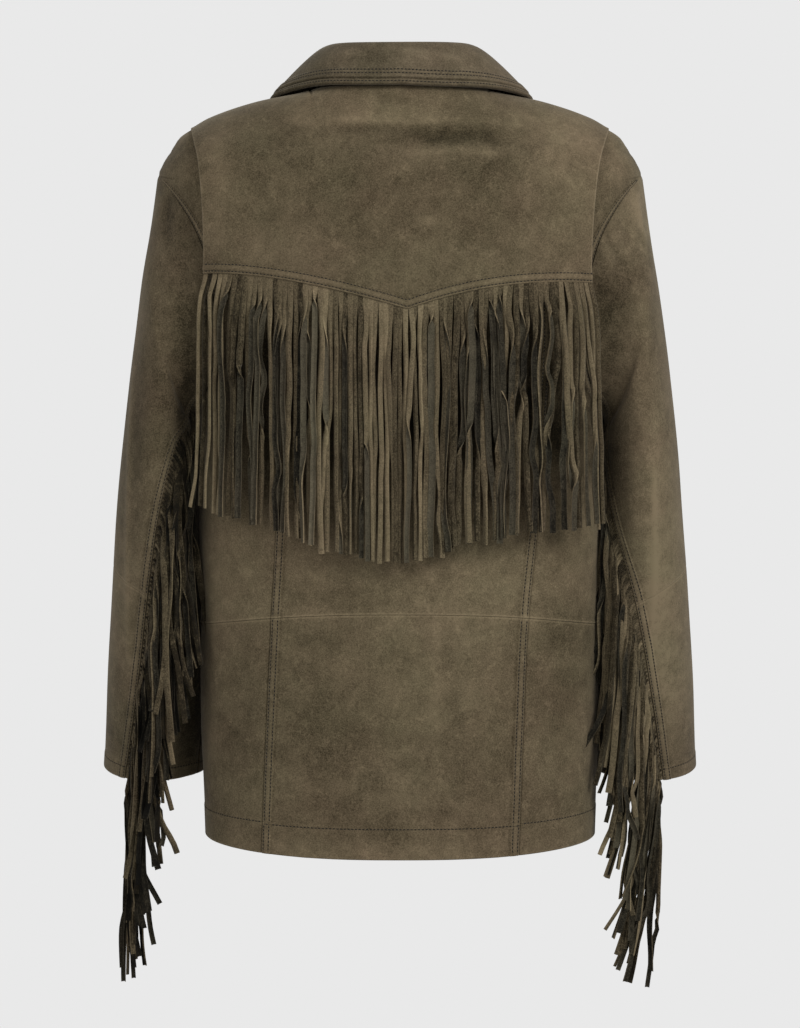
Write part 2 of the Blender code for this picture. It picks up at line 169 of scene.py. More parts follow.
# %% The body's sections
SQUARENESS = 2.5
BODY = np.array([  # half width, back, front, height at the sides, back and front, centre, seam
    (0.181, 0.112, 0.116, -0.681, -0.689, -0.685, -0.009, 0.112),
    (0.1845, 0.108, 0.114, -0.580, -0.580, -0.580, -0.005, 0.112),
    (0.1850, 0.103, 0.112, -0.485, -0.471, -0.471, 0.000, 0.112),
    (0.1865, 0.107, 0.120, -0.385, -0.380, -0.380, 0.007, 0.114),
    (0.187, 0.113, 0.126, -0.292, -0.290, -0.294, 0.010, 0.117),
    (0.196, 0.116, 0.124, -0.215, -0.225, -0.238, 0.011, 0.120),
    (0.209, 0.115, 0.117, -0.138, -0.162, -0.186, 0.011, 0.118),
    (0.2222, 0.110, 0.110, -0.0745, -0.107, -0.144, 0.010, 0.112),
    (0.2055, 0.104, 0.105, -0.0445, -0.076, -0.126, 0.009, 0.101),
    (0.178, 0.095, 0.098, -0.0272, -0.058, -0.108, 0.007, 0.086),
    (0.136, 0.082, 0.090, -0.0122, -0.032, -0.090, 0.004, 0.067),
    (0.080, 0.066, 0.082, -0.001, 0.005, -0.072, 0.000, 0.044),
])
HEM, WAIST, ARMPIT, TIP, NECK = 0, 2, 4, 7, 11
CENTRE, SEAM = 6, 7
ARMHOLE_REACH = math.radians(38)
ARMHOLE_SQUARENESS = 2.4
STEP = 0.01


def mix(a, b, share):
    return a + (b - a) * share


def ease(share):
    share = np.clip(share, 0, 1)
    return share * share * (3 - 2 * share)


def unit(vectors):
    return vectors / np.maximum(np.linalg.norm(vectors, axis=-1, keepdims=True), 1e-12)


def signed_power(value, power):
    return np.sign(value) * np.abs(value) ** power


def alike(*values):
    return np.broadcast_arrays(*(np.asarray(value, float) for value in values))


def longer(rows):
    """Rows with one more at each end, in line with the last two there."""
    return np.stack([2 * rows[0] - rows[1], *rows, 2 * rows[-1] - rows[-2]])


def curve(a, b, c, d, t):
    """Between b and c, on a smooth curve through all four."""
    return 0.5 * (2 * b + (c - a) * t + (2 * a - 5 * b + 4 * c - d) * t**2 + (3 * b - a - 3 * c + d) * t**3)


def smooth(table, position):
    """Rows of a table at these positions, on a smooth curve through them."""
    position = np.asarray(position, float)
    low = np.clip(position.astype(int), 0, len(table) - 2)
    t = (position - low)[(...,) + (None,) * (table.ndim - 1)]
    return curve(*(longer(table)[low + k] for k in range(4)), t)


def normal_of(point_of, a, b):
    """Normals of a surface, from its points a step to each side."""
    across = point_of(a + STEP, b) - point_of(a - STEP, b)
    return unit(np.cross(across, point_of(a, b + STEP) - point_of(a, b - STEP)))


def ring_point(angle, section):
    """Points on squared rings: -90 degrees is the centre back, 0 the wearer's right, 90 the front."""
    c, s = np.cos(angle), np.sin(angle)
    depth = np.where(s > 0, section[..., 2], section[..., 1])
    z_end = np.where(s > 0, section[..., 5], section[..., 4])
    x = signed_power(c, 2 / SQUARENESS) * section[..., 0]
    y = signed_power(s, 2 / SQUARENESS) * depth
    return np.stack([x, y, mix(section[..., 3], z_end, s * s)], axis=-1)


def body_point(angle, row):
    angle, row = alike(angle, row)
    return ring_point(angle, smooth(BODY, row))


def body_normal(angle, row):
    return normal_of(body_point, angle, np.clip(row, HEM + STEP, NECK - STEP))


def off_body(angle, row, lift=0.0):
    """Points this far off the body, and the normals there."""
    normal = body_normal(angle, row)
    return body_point(angle, row) + normal * np.asarray(lift)[..., None], normal


def angle_at(x, row, front=False):
    """The angle at which the body reaches this x at this row, on the back or the front."""
    share = np.minimum(np.abs(x) / smooth(BODY, row)[..., 0], 1)
    from_side = np.arccos(share ** (SQUARENESS / 2))
    angle = np.where(x > 0, from_side, math.pi - from_side)
    return angle if front else -angle


def row_at(x, z, front=False):
    """The row at which the body has this height, at this x."""
    low, high = np.zeros(np.shape(x)), np.full(np.shape(x), float(TIP))
    for _ in range(30):
        middle = (low + high) / 2
        under = body_point(angle_at(x, middle, front), middle)[..., 2] < z
        low, high = np.where(under, middle, low), np.where(under, high, middle)
    return (low + high) / 2


def armhole_angle(row):
    """How far from the side the armhole has cut the cloth away."""
    share = np.clip((row - ARMPIT) / (TIP - ARMPIT), 0, 1)
    return ARMHOLE_REACH * (1 - np.abs(2 * share - 1) ** ARMHOLE_SQUARENESS) ** (1 / ARMHOLE_SQUARENESS)


waist = np.diff(body_point(np.linspace(0, 2 * math.pi, 400), WAIST), axis=0)
print("waist, mm round:", round(float(np.linalg.norm(waist, axis=1).sum()) / MM))

# %% [markdown]
# ## The shape of a sleeve
#
# A sleeve is a row of rings down a hanging arm, from the armhole to the cuff. Each ring is turned,
# so that the seam that carries the fringe runs down the back of the arm and outwards to the wrist.

# %% The sleeve's sections
SLEEVE = np.array([  # outer x and z, inner x and z, middle, depth, lean, turn on the left and right
    (0.2222, -0.0745, 0.187, -0.292, 0.000, 0.075, 0, 0, 0),
    (0.2306, -0.127, 0.190, -0.307, -0.002, 0.072, 0, 0, 6),
    (0.2397, -0.182, 0.190, -0.320, -0.002, 0.073, 0, -4, 12),
    (0.2497, -0.258, 0.1893, -0.354, 0.000, 0.072, 0, -26, 8),
    (0.2596, -0.343, 0.1885, -0.412, 0.003, 0.068, 2, -45, -10),
    (0.2673, -0.432, 0.1878, -0.474, 0.012, 0.063, 6, -57, -36),
    (0.2757, -0.528, 0.1878, -0.552, 0.032, 0.057, 9, -68, -54),
    (0.2828, -0.626, 0.190, -0.629, 0.058, 0.052, 9, -82, -67),
])
ELBOW, CUFF = 5, 7
SLEEVE_RISE = 1 * MM
BACK_SEAM, FRONT_SEAM, WHOLE_TURN = math.radians(144), math.radians(234), 2 * math.pi


def armhole_point(angle):
    """The armhole seam on the right: 0 is the shoulder tip, 90 degrees the back, 180 the armpit."""
    row = mix(ARMPIT, TIP, (1 + np.cos(angle)) / 2)
    cut = np.copysign(armhole_angle(row), np.sin(angle))
    return off_body(-cut, row, SLEEVE_RISE)[0]


def sleeve_ring(side, ring, angle):
    x_out, z_out, x_in, z_in, middle, depth, lean, turn_left, turn_right = ring
    angle = angle + math.radians(turn_right if side > 0 else turn_left)
    lean = math.radians(lean)
    centre = np.array([(x_out + x_in) / 2, middle, (z_out + z_in) / 2])
    across = np.array([(x_out - x_in) / 2, 0, (z_out - z_in) / 2])
    back = np.array([0, -math.cos(lean), -math.sin(lean)]) * depth
    return centre + across * np.cos(angle)[..., None] + back * np.sin(angle)[..., None]


def sleeve_point(side, angle, row):
    angle, row = alike(angle, row)
    rings = longer([armhole_point(angle)] + [sleeve_ring(side, ring, angle) for ring in SLEEVE[1:]])
    low = np.clip(row.astype(int), 0, CUFF - 1)
    four = (np.take_along_axis(rings, (low + k)[None, ..., None], axis=0)[0] for k in range(4))
    return curve(*four, (row - low)[..., None]) * np.array([side, 1, 1])


def sleeve_normal(side, angle, row):
    return normal_of(partial(sleeve_point, side), angle, np.clip(row, STEP, CUFF - STEP)) * side


# %% [markdown]
# ## From a surface to a piece of suede
#
# A panel is a thin closed shell. Its grid is laid out by real distances from its edges, as a
# maker marks a seam allowance, because the stitch rows run at fixed distances from them. Each kind
# of edge has its own section: how high the leather stands there, how worn it is, and how much
# painted shade darkens its seam, its sunk stitch rows and its grooves. The wear and the painted
# shade are kept as one attribute of the mesh, and the suede's material reads it.

# %% The kinds of edge
Edge = namedtuple("Edge", "near profile")  # a profile gives height in mm, and wear with painted shade, at d mm from the edge
FIRST_ROW, SECOND_ROW, WELT = 1.6, 6.6, 8.2  # mm from the edge of a double-stitched band
HEM_DEPTH, CUFF_DEPTH = 27.5, 13.0


def hump(d, centre, reach):
    """1 at the centre, falling smoothly to 0 at this reach on both sides."""
    return ease(1 - np.abs(d - centre) / reach)


def fall(d, reach, start=0.0):
    """1 as far as the start, falling smoothly to 0 within this reach of it."""
    return 1 - ease((d - start) / reach)


def butt_profile(d, v):
    """The edge dives into the seam, and the ditch there is darkened as painted shade."""
    return -0.6 * fall(d, 1.8), -0.5 * fall(d, 1.8)


def faint_profile(d, v):
    """A nearly flat seam, with a rubbed line beside it."""
    return -0.18 * fall(d, 1.8), 0.65 * hump(d, 1.0, 1.3)


def welt_profile(d, v):
    """A raised band, sunk along two rows of stitches. Its ridges are lighter; the sunk rows, the edge where
    it dives and the strip beside it are darkened as painted shade.
    """
    rows = hump(d, FIRST_ROW, 1.0) + hump(d, SECOND_ROW, 1.0)
    height = 0.95 * fall(d, 1.3, WELT - 0.8) - 0.4 * rows - 0.9 * fall(d, 0.8)
    wear = 0.45 * hump(d, 0.75, 0.7) + 0.25 * hump(d, 4.1, 2.2) + 0.3 * hump(d, WELT - 0.7, 0.8)
    return height, wear - 0.2 * rows - 0.35 * hump(d, WELT + 1.0, 1.6) - 0.4 * fall(d, 0.8)


def turned_profile(d, v):
    """A free edge, turned under and pressed."""
    return 0.25 * hump(d, 2.2, 2.0) - fall(d, 1.1), 0.6 * hump(d, 0.9, 1.3)


def ridge_profile(d, v):
    """A plain seam whose allowances make a thin ridge beside it."""
    return 0.5 * hump(d, 1.1, 1.8) - 0.3 * fall(d, 0.5), 1.1 * hump(d, 0.8, 1.3)


def armhole_share(v):
    """How much of the side edge is armhole at a row of the body."""
    return ease((v - ARMPIT) / 0.12) * ease((TIP - v) / 0.12)


def side_profile(d, v):
    """The side of the body: a plain seam below the arm and a double-stitched one round the armhole."""
    share = armhole_share(v)
    height, wear = (mix(a, b, share) for a, b in zip(butt_profile(d, v), welt_profile(d, v)))
    return height, wear + 0.3 * share * hump(d, 4.1, 3.4)


def near(*distances):
    return np.array((0.1,) + distances) * MM


def hem_edge(depth):
    def profile(d, v):
        row, inside = hump(d, depth, 0.9), fall(d, 1.5, depth + 0.5)
        height = 0.45 * inside - 0.35 * row - 0.9 * fall(d, 1.2)
        # The stitch row is darkened as painted shade.
        return height, 0.45 * hump(d, 0.9, 1.4) - 0.55 * row + 0.08 * inside

    marks = [*np.arange(6, depth - 3, 4.5)] + [depth + more for more in (-1.6, -0.8, 0, 0.8, 1.6, 3.5)]
    return Edge(near(0.5, 0.9, 1.5, 2.5, *marks), profile)


PLAIN_NEAR = near(0.5, 0.9, 1.5, 2.5, 4.5)
WELT_NEAR = near(0.4, 0.8, 1.2, 1.6, 2.0, 2.6, 4.1, 5.6, 6.2, 6.6, 7.0, 7.6, 8.2, 8.8, 9.6, 11.5)
BUTT, FAINT_BUTT, TURNED, RIDGE = (Edge(PLAIN_NEAR, profile) for profile in (
    butt_profile, faint_profile, turned_profile, ridge_profile))
WELTED, SIDE = Edge(WELT_NEAR, welt_profile), Edge(WELT_NEAR, side_profile)

# %% [markdown]
# ### Creases
#
# Worn suede keeps its creases. Each is put where it belongs, by its half width, its height and the
# points of its line: ridges are positive and troughs negative. They are given as seen flat from
# behind (or from the front), in millimetres from the neck.


# %% Creases
def crease_field(points, creases, front=False):
    """Height, and wear with painted shade, that the creases give at these points."""
    flat, total_height, wear = points[..., [0, 2]] / MM, 0.0, 0.0
    facing = ease((points[..., 1] * (1 if front else -1) + 0.02) / 0.03)
    for half_width, height, *line in creases:
        line = np.array(line, float)
        lengths = np.linalg.norm(np.diff(line, axis=0), axis=1)
        gone = 0.0
        best, along = np.full(flat.shape[:-1], 1e9), np.zeros(flat.shape[:-1])
        for start, reach, length in zip(line, np.diff(line, axis=0), lengths):
            t = np.clip(((flat - start) @ reach) / length**2, 0, 1)
            away = np.linalg.norm(flat - start - t[..., None] * reach, axis=-1)
            along = np.where(away < best, (gone + t * length) / lengths.sum(), along)
            best = np.minimum(away, best)
            gone += length
        shape = np.exp(-((best / half_width) ** 2)) * facing
        shape = shape * ease(4 * along + 0.15) * ease(4 * (1 - along) + 0.15)
        total_height = total_height + height * MM * shape
        # Ridges are made lighter and troughs darker: the dark troughs are painted shade.
        wear = wear + np.clip(1.5 * height / half_width, -0.5, 0.8) * shape
    return total_height, wear


UNEVEN = 0.5 * MM
SWELLS = ((31, 17, 23, 0.3), (-19, 37, 29, 1.9), (43, -21, 13, 4.1), (11, 53, -37, 2.2))


def unevenness(points):
    """A slow rise and fall that no two places share."""
    return UNEVEN * sum(np.sin(points @ np.array(swell[:3]) + swell[3]) for swell in SWELLS) / len(SWELLS)


# %% Building a shell
Panel = namedtuple("Panel", "points normals left right start end v")
panels = {}


def arc_lengths(points):
    steps = np.linalg.norm(np.diff(points, axis=-2), axis=-1)
    return np.concatenate([np.zeros(steps.shape[:-1] + (1,)), np.cumsum(steps, axis=-1)], axis=-1)


def marks_along(length, near_first, near_last, pitch):
    """Distances along each length: those near both ends, and even steps of about a pitch between."""
    count = max(round((np.mean(length) - near_first[-1] - near_last[-1]) / pitch), 1)
    length = np.asarray(length, float)[..., None]
    first = np.broadcast_to(near_first, length.shape[:-1] + near_first.shape)
    share = np.arange(1, count) / count
    middle = near_first[-1] + share * (length - near_first[-1] - near_last[-1])
    return np.concatenate([first, middle, length - near_last[::-1]], axis=-1)


def add_mesh(name, points, faces, looks, face_looks, **attributes):
    """A mesh object from arrays. attributes are numbers for each point, which materials can read."""
    mesh = bpy.data.meshes.new(name)
    mesh.from_pydata(points.reshape(-1, 3).tolist(), [], faces.tolist())
    for look in looks:
        mesh.materials.append(look)
    mesh.polygons.foreach_set("material_index", np.asarray(face_looks, np.int32))
    for key, values in attributes.items():
        layer = mesh.attributes.new(key, "FLOAT", "POINT")
        layer.data.foreach_set("value", np.asarray(values, np.float32).ravel())
    mesh.polygons.foreach_set("use_smooth", [True] * len(mesh.polygons))
    mesh.update()
    return add_object(name, mesh)


def hand_over(piece, slot, *nodes):
    """Attaches a piece to the root body, and hides the nodes of the CAD model that it stands for. The slot
    is not used.
    """
    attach(piece, "root")
    if nodes:
        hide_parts(*nodes)


def grid_faces(rows, columns, first=0):
    a = first + np.arange(rows - 1)[:, None] * columns + np.arange(columns - 1)
    return np.stack([a, a + 1, a + columns + 1, a + columns], axis=-1).reshape(-1, 4)


def shell_faces(rows, columns):
    """Quads of an outer sheet, an inner sheet and the rim that joins them, and which are inner."""
    count = rows * columns
    outer, inner = grid_faces(rows, columns), grid_faces(rows, columns, count)[:, ::-1]
    border = np.concatenate([
        np.arange(columns - 1),
        np.arange(rows - 1) * columns + columns - 1,
        (rows - 1) * columns + np.arange(columns - 1, 0, -1),
        np.arange(rows - 1, 0, -1) * columns,
    ])
    after = np.roll(border, -1)
    rim = np.stack([after, border, border + count, after + count], axis=-1)
    return np.concatenate([outer, inner, rim]), np.repeat([0, 1, 0], [len(outer), len(inner), len(rim)])


def quad_areas(points):
    a, b, c, d = points[:-1, :-1], points[:-1, 1:], points[1:, 1:], points[1:, :-1]
    return 0.5 * np.linalg.norm(np.cross(c - a, d - b), axis=-1).sum()


def suede_piece(node, surface, span, edges, look, slot, pitch=4 * MM, thick=1.4 * MM,
                creases=(), front=False, patches=()):
    """A panel as a closed shell. surface gives points and normals for shares across and rows along."""
    left, right, start, end = edges
    u_fine, v_fine = np.linspace(0, 1, 201), np.linspace(*span, 241)
    lengths = arc_lengths(surface(np.full_like(v_fine, 0.5), v_fine)[0])
    marks = marks_along(lengths[-1], start.near, end.near, pitch)
    v = np.interp(marks, lengths, v_fine)
    arcs = arc_lengths(surface(*alike(u_fine[None, :], v[:, None]))[0])
    across = marks_along(arcs[:, -1], left.near, right.near, pitch)
    u = np.stack([np.interp(marks_here, arc, u_fine) for marks_here, arc in zip(across, arcs)])
    rows = np.broadcast_to(v[:, None], u.shape)
    base, normals = surface(u, rows)
    from_start = np.broadcast_to(marks[:, None], u.shape)
    distances = (across, arcs[:, -1:] - across, from_start, lengths[-1] - from_start)
    height, wear = crease_field(base, creases, front)
    height = height + unevenness(base)
    for edge, distance in zip(edges, distances):
        more, edge_wear_and_shade = edge.profile(distance / MM, rows)
        height, wear = height + more * MM, wear + edge_wear_and_shade
    outer = base + normals * height[..., None]
    # Patches lighten the suede in some places and darken it in others; the dark ones under the fringe and on
    # the sleeves' inner sides are painted shade.
    patch = np.zeros(u.shape)
    for x, z, wide, tall, amount in patches:
        gap = ((base[..., 0] / MM - x) / wide) ** 2 + ((base[..., 2] / MM - z) / tall) ** 2
        patch += amount * np.exp(-gap)
    faces, inside = shell_faces(*u.shape)
    turned = np.cross(outer[1, 1] - outer[1, 0], outer[2, 0] - outer[1, 0]) @ normals[1, 0] < 0
    faces = faces[:, ::-1] if turned else faces
    points, wear, patch = ([outer, outer - normals * thick], [wear, wear * 0], [patch, patch])
    piece = add_mesh("suede_" + node, np.stack(points), faces, (look, FLESH_SIDE), inside, wear=wear,
                     patch=patch)
    hand_over(piece, slot, node)
    area, wide = quad_areas(base), float(arcs[:, -1].max())
    panels[node] = Panel(outer, normals, *distances, rows)

# %% [markdown]
# ## Suede
#
# Suede is the napped flesh side of a hide. Its colour drifts in clouds, with smaller blotches,
# scuffs and light veins, and its nap is a fine grain that catches light. The mix of a dark and a
# light brown is driven by noise at several sizes, by the wear along each seam, with painted shade
# in its ditches and rows, and by soft patches: lighter in some places, and darker in others as
# painted shade, such as under the fringe. Where the mix falls below its dark end the colour is
# darkened further, as painted shade. The hue drifts too, between olive and rose. A little sheen
# stands for the fibres that stand up off the surface.

# %% The suede materials
OLIVE_TINT, ROSE_TINT = (0.965, 1.005, 0.97, 1), (1.035, 0.99, 1.01, 1)  # the hue drifts between them
TONE_AND_SHADE_SHARE = 0.69
SHEEN_TINT = (0.62, 0.55, 0.44, 1)


def object_space(tree):
    return add_node(tree, "TexCoord", {}).outputs["Object"]


def add_noise(tree, where, scale, detail=3.0, roughness=0.55, stretch=None):
    if stretch:
        where = add_node(tree, "Mapping", {"Vector": where, "Scale": stretch}).outputs["Vector"]
    looks = {"Vector": where, "Scale": scale, "Detail": detail, "Roughness": roughness}
    return add_node(tree, "TexNoise", looks).outputs["Fac"]


def add_math(tree, operation, *values):
    return add_node(tree, "Math", dict(enumerate(values)), operation=operation).outputs[0]


def add_attribute(tree, name):
    return add_node(tree, "Attribute", {}, attribute_name=name).outputs["Fac"]


def mix_colours(tree, share, a, b):
    made = add_node(tree, "Mix", {}, data_type="RGBA", clamp_factor=True)
    fill(tree, made, {"Factor": share, "A": a, "B": b})
    return made.outputs["Result"]


def weighted_sum(tree, start, terms):
    """start, plus each output times its weight, counted from its usual value."""
    total = start - sum(weight * usual for _, weight, usual in terms)
    for output, weight, _ in terms:
        total = add_math(tree, "MULTIPLY_ADD", output, weight, total)
    return total


def suede(name, dark, light, cloudy=1.0, wear=0.38, sheen=0.25):
    """dark and light are linear colours. The other numbers say how strong each variation is."""
    made, tree, shader = add_material(name)
    noise, calc = partial(add_noise, tree, object_space(tree)), partial(add_math, tree)
    clouds, blotches = noise(8, 5, 0.6), noise(46)
    scuffs = noise(150, 4, 0.6, (1, 1, 0.7))
    nap, broken = noise(800, 3, 0.8), noise(75, 5, 0.75)
    from_line = calc("ABSOLUTE", calc("SUBTRACT", noise(60, 5, 0.65), 0.5))
    veins = calc("MAXIMUM", calc("MULTIPLY_ADD", from_line, -30, 1), 0)
    veins = calc("MULTIPLY", veins, calc("MAXIMUM", calc("SUBTRACT", broken, 0.42), 0))
    patches = calc("MULTIPLY", add_attribute(tree, "patch"), calc("MULTIPLY_ADD", broken, 2.4, -0.2))
    share = weighted_sum(tree, 0.38, (
        (clouds, 0.85 * cloudy, 0.5), (blotches, 0.5 * cloudy, 0.5), (scuffs, 0.35 * cloudy, 0.5),
        (veins, 1.2 * cloudy, 0.02), (nap, 1.5, 0.5), (add_attribute(tree, "wear"), wear, 0),
        (patches, TONE_AND_SHADE_SHARE, 0)))
    colours = mix_colours(tree, share, dark + (1,), light + (1,))
    tints = mix_colours(tree, calc("MULTIPLY_ADD", noise(13, 4, 0.6), 2.6, -0.8), OLIVE_TINT, ROSE_TINT)
    # Below the dark end of the mix the colour is darkened further, down to a quarter: painted shade, for the
    # suede under the fringe and inside the sleeves.
    depth = calc("MINIMUM", calc("MAXIMUM", calc("MULTIPLY_ADD", share, 2.2, 1), 0.25), 1)
    tints_darkened_as_shade = add_node(tree, "VectorMath", {0: tints, "Scale": depth}, operation="SCALE")
    tinted = add_node(tree, "VectorMath", {0: colours, 1: tints_darkened_as_shade.outputs["Vector"]}, operation="MULTIPLY")
    height = weighted_sum(tree, 0.5, ((nap, 0.6, 0.5), (scuffs, 0.5, 0.5)))
    bump = add_node(tree, "Bump", {"Strength": 0.5, "Distance": 0.5 * MM, "Height": height})
    fill(tree, shader, {
        "Base Color": tinted.outputs["Vector"], "Normal": bump.outputs["Normal"], "Roughness": 0.92,
        "Specular IOR Level": 0.15, "Sheen Weight": sheen, "Sheen Roughness": 0.45,
        "Sheen Tint": SHEEN_TINT})
    return made


BODY_SUEDE = suede("brown_suede_body", (0.0310, 0.0230, 0.0110), (0.1930, 0.1500, 0.0900))
SLEEVE_SUEDE = suede("brown_suede_sleeve", (0.0285, 0.0213, 0.0102), (0.1810, 0.1410, 0.0855))
YOKE_SUEDE = suede("brown_suede_yoke", (0.0325, 0.0243, 0.0115), (0.1905, 0.1470, 0.0885))
COLLAR_SUEDE = suede("brown_suede_collar", (0.0270, 0.0205, 0.0100), (0.1640, 0.1300, 0.0820))
FRINGE_SUEDE = suede("brown_suede_fringe", (0.0200, 0.0150, 0.0072), (0.2450, 0.1920, 0.1150),
                     cloudy=0.5, wear=0.35, sheen=0.12)
FLESH_SIDE = suede("charcoal_flesh_side", (0.0100, 0.0085, 0.0053), (0.1300, 0.1110, 0.0730),
                   cloudy=0.6, wear=0.2, sheen=0.06)
print("suede materials:", [made.name for made in bpy.data.materials if "suede" in made.name])

# %% [markdown]
# ## The back
#
# The back is cut in three strips, each divided at the waist. The long seams are pressed towards
# the middle and stitched down twice, so the middle strips carry a raised band along both sides.
# The seam at the waist is plain. The hem is turned up and stitched once.

# %% The back's surfaces
SEAM_ASIDE = 3 * MM  # the long seams, outwards from the CAD model's, so that their bands straddle it


def back_line(name):
    """The angle of one of the back's long lines, for rows of the body."""

    def angle(row):
        if name == "left side":
            return -math.pi + armhole_angle(row)
        if name == "right side":
            return -armhole_angle(row)
        section = smooth(BODY, row)
        away = section[..., SEAM] + SEAM_ASIDE
        return angle_at(section[..., CENTRE] + (away if name == "right seam" else -away), row)

    return angle


def body_surface(first, last):
    """The body between two lines, which are functions of the row."""
    return lambda u, row: off_body(mix(first(row), last(row), u), row)


# %% Creases and patches of the back
SHOULDERS = ()  # full over the shoulder, then falling away to the sleeve
for side in (-1, 1):
    SHOULDERS += (
        (10, 2.6, (150 * side, -16), (180 * side, -30), (200 * side, -41), (209 * side, -49)),
        (6, -1.4, (208 * side, -50), (216 * side, -59), (220 * side, -69)),
    )
BACK_CREASES = (
    (7, 0.7, (-182, -470), (-120, -476), (-60, -470)),
    (8, 0.6, (20, -478), (90, -471), (160, -476)),
    (6, 0.5, (32, -470), (31, -520), (27, -560)),
    (7, -0.5, (-12, -480), (-8, -540)),
    (14, -1.2, (-165, -640), (-140, -560), (-150, -500)),
    (15, -1.1, (150, -655), (138, -590), (145, -520)),
    (12, 0.8, (-60, -640), (-30, -600), (20, -612)),
    (9, 0.8, (60, -600), (95, -620), (100, -655)),
    (9, 0.8, (-172, -395), (-150, -410), (-130, -440)),
    (10, 0.9, (178, -385), (160, -412), (150, -450)),
    (4, 1.0, (-95, -668), (-88, -676), (-84, -690)),
    (3, 0.5, (-60, -672), (-58, -690)),
    (3.5, 0.6, (44, -672), (45, -690)),
    (3, -0.6, (-12, -674), (-13, -690)),
    (3, 0.6, (88, -674), (86, -690)),
    (10, -1.2, (-170, -250), (-165, -300), (-178, -350)),
    (10, -1.2, (170, -250), (165, -300), (176, -350)),
) + SHOULDERS
BACK_PATCHES = (  # x, z, half width, half height, how much lighter
    (25, -472, 62, 34, 0.34),
    (-60, -466, 70, 22, 0.14),
    (110, -462, 60, 26, 0.14),
    (10, -560, 22, 70, 0.14),
    (32, -540, 7, 60, 0.16),
    (-5, -625, 60, 16, 0.16),
    (-170, -540, 16, 90, 0.18),
    (172, -600, 14, 90, 0.18),
    (-172, -430, 20, 60, 0.15),
    (176, -420, 16, 60, 0.2),
    (-20, -682, 120, 9, 0.24),
    (200, -70, 16, 22, 0.3),
    (-165, -410, 45, 40, 0.12),
    (20, -430, 120, 30, 0.3),
    (-160, -668, 40, 30, -0.2),
    (0, -285, 178, 70, -1.2),  # painted shade: the back behind the fringe is darkened as the strips' shadow
)

# %% The back's panels
LOWER_HEM = hem_edge(HEM_DEPTH)
strips = (
    ("side_left", "left side", "left seam", SIDE, BUTT),
    ("centre", "left seam", "right seam", WELTED, WELTED),
    ("side_right", "right seam", "right side", BUTT, SIDE),
)
heights = (("lower", (HEM, WAIST), LOWER_HEM, FAINT_BUTT), ("upper", (WAIST, NECK), RIDGE, BUTT))
for word, first, last, left, right in strips:
    surface = body_surface(back_line(first), back_line(last))
    for height, span, start, end in heights:
        suede_piece(f"back_{word}_{height}", surface, span, (left, right, start, end), BODY_SUEDE,
                    "suede_body", creases=BACK_CREASES, patches=BACK_PATCHES)

# %% [markdown]
# ## The fronts
#
# Each front is one piece from hem to neck. The wearer's right front laps over the left, and both
# front edges are turned and stitched.

# %% The front panels
OVERLAP_HALF = 0.016
OVERLAP_LIFT = 2.7 * MM
OVERLAP_START, OVERLAP_END = 0.070, 0.024
FRONT_ROW = 5  # mm from the front edge to the stitches beside it


def front_edge_profile(d, v):
    row = hump(d, FRONT_ROW, 0.9)
    height, wear = turned_profile(d, v)
    # The stitch row is darkened as painted shade.
    return height + 0.3 * fall(d, 2, FRONT_ROW) - 0.35 * row, wear - 0.5 * row


FRONT_EDGE = Edge(near(0.5, 0.9, 1.5, 2.5, 4.0, 4.5, 5.0, 5.5, 6.0, 7.5, 9.5), front_edge_profile)


def front_lift(x):
    return OVERLAP_LIFT * ease((OVERLAP_START - x) / (OVERLAP_START - OVERLAP_END))


def front_surface(side):
    def surface(u, row):
        middle = angle_at(-OVERLAP_HALF * side, row, front=True)
        from_side = u if side > 0 else 1 - u
        angle = mix(0 if side > 0 else math.pi, middle, from_side)
        angle = angle + side * armhole_angle(row) * (1 - from_side) ** 2
        lift = front_lift(body_point(angle, row)[..., 0]) if side > 0 else 0.0
        return off_body(angle, row, lift)

    return surface


FRONT_CREASES = (
    (14, -1.5, (-150, -280), (-120, -330), (-135, -380)),
    (13, -1.3, (150, -285), (125, -325), (138, -385)),
    (11, 1.0, (-120, -480), (-60, -470), (-30, -476)),
    (12, 1.1, (125, -470), (70, -480), (36, -472)),
    (16, -1.4, (-90, -640), (-80, -560), (-95, -500)),
    (15, -1.2, (95, -650), (84, -580), (90, -510)),
    (12, 0.9, (-140, -200), (-90, -230), (-50, -225)),
    (13, 1.0, (140, -205), (95, -225), (60, -236)),
) + SHOULDERS
FRONT_PATCHES = ((-80, -470, 60, 30, 0.2), (85, -465, 60, 30, 0.2), (-120, -230, 50, 40, 0.12),
                 (120, -230, 50, 40, 0.12))
fronts = (
    ("front_right", 1, (SIDE, FRONT_EDGE, LOWER_HEM, BUTT)),
    ("front_left", -1, (FRONT_EDGE, SIDE, LOWER_HEM, BUTT)),
)
for node, side, edges in fronts:
    suede_piece(node, front_surface(side), (HEM, NECK), edges, BODY_SUEDE, "suede_body", 5 * MM,
                creases=FRONT_CREASES, front=True, patches=FRONT_PATCHES)

# %% [markdown]
# ## The sleeves
#
# A sleeve has a wide top piece, joined above the elbow's seam, and a narrow piece under the arm.
# The seam behind the arm is stitched down twice on the top sleeve, and its fringe is caught in it.

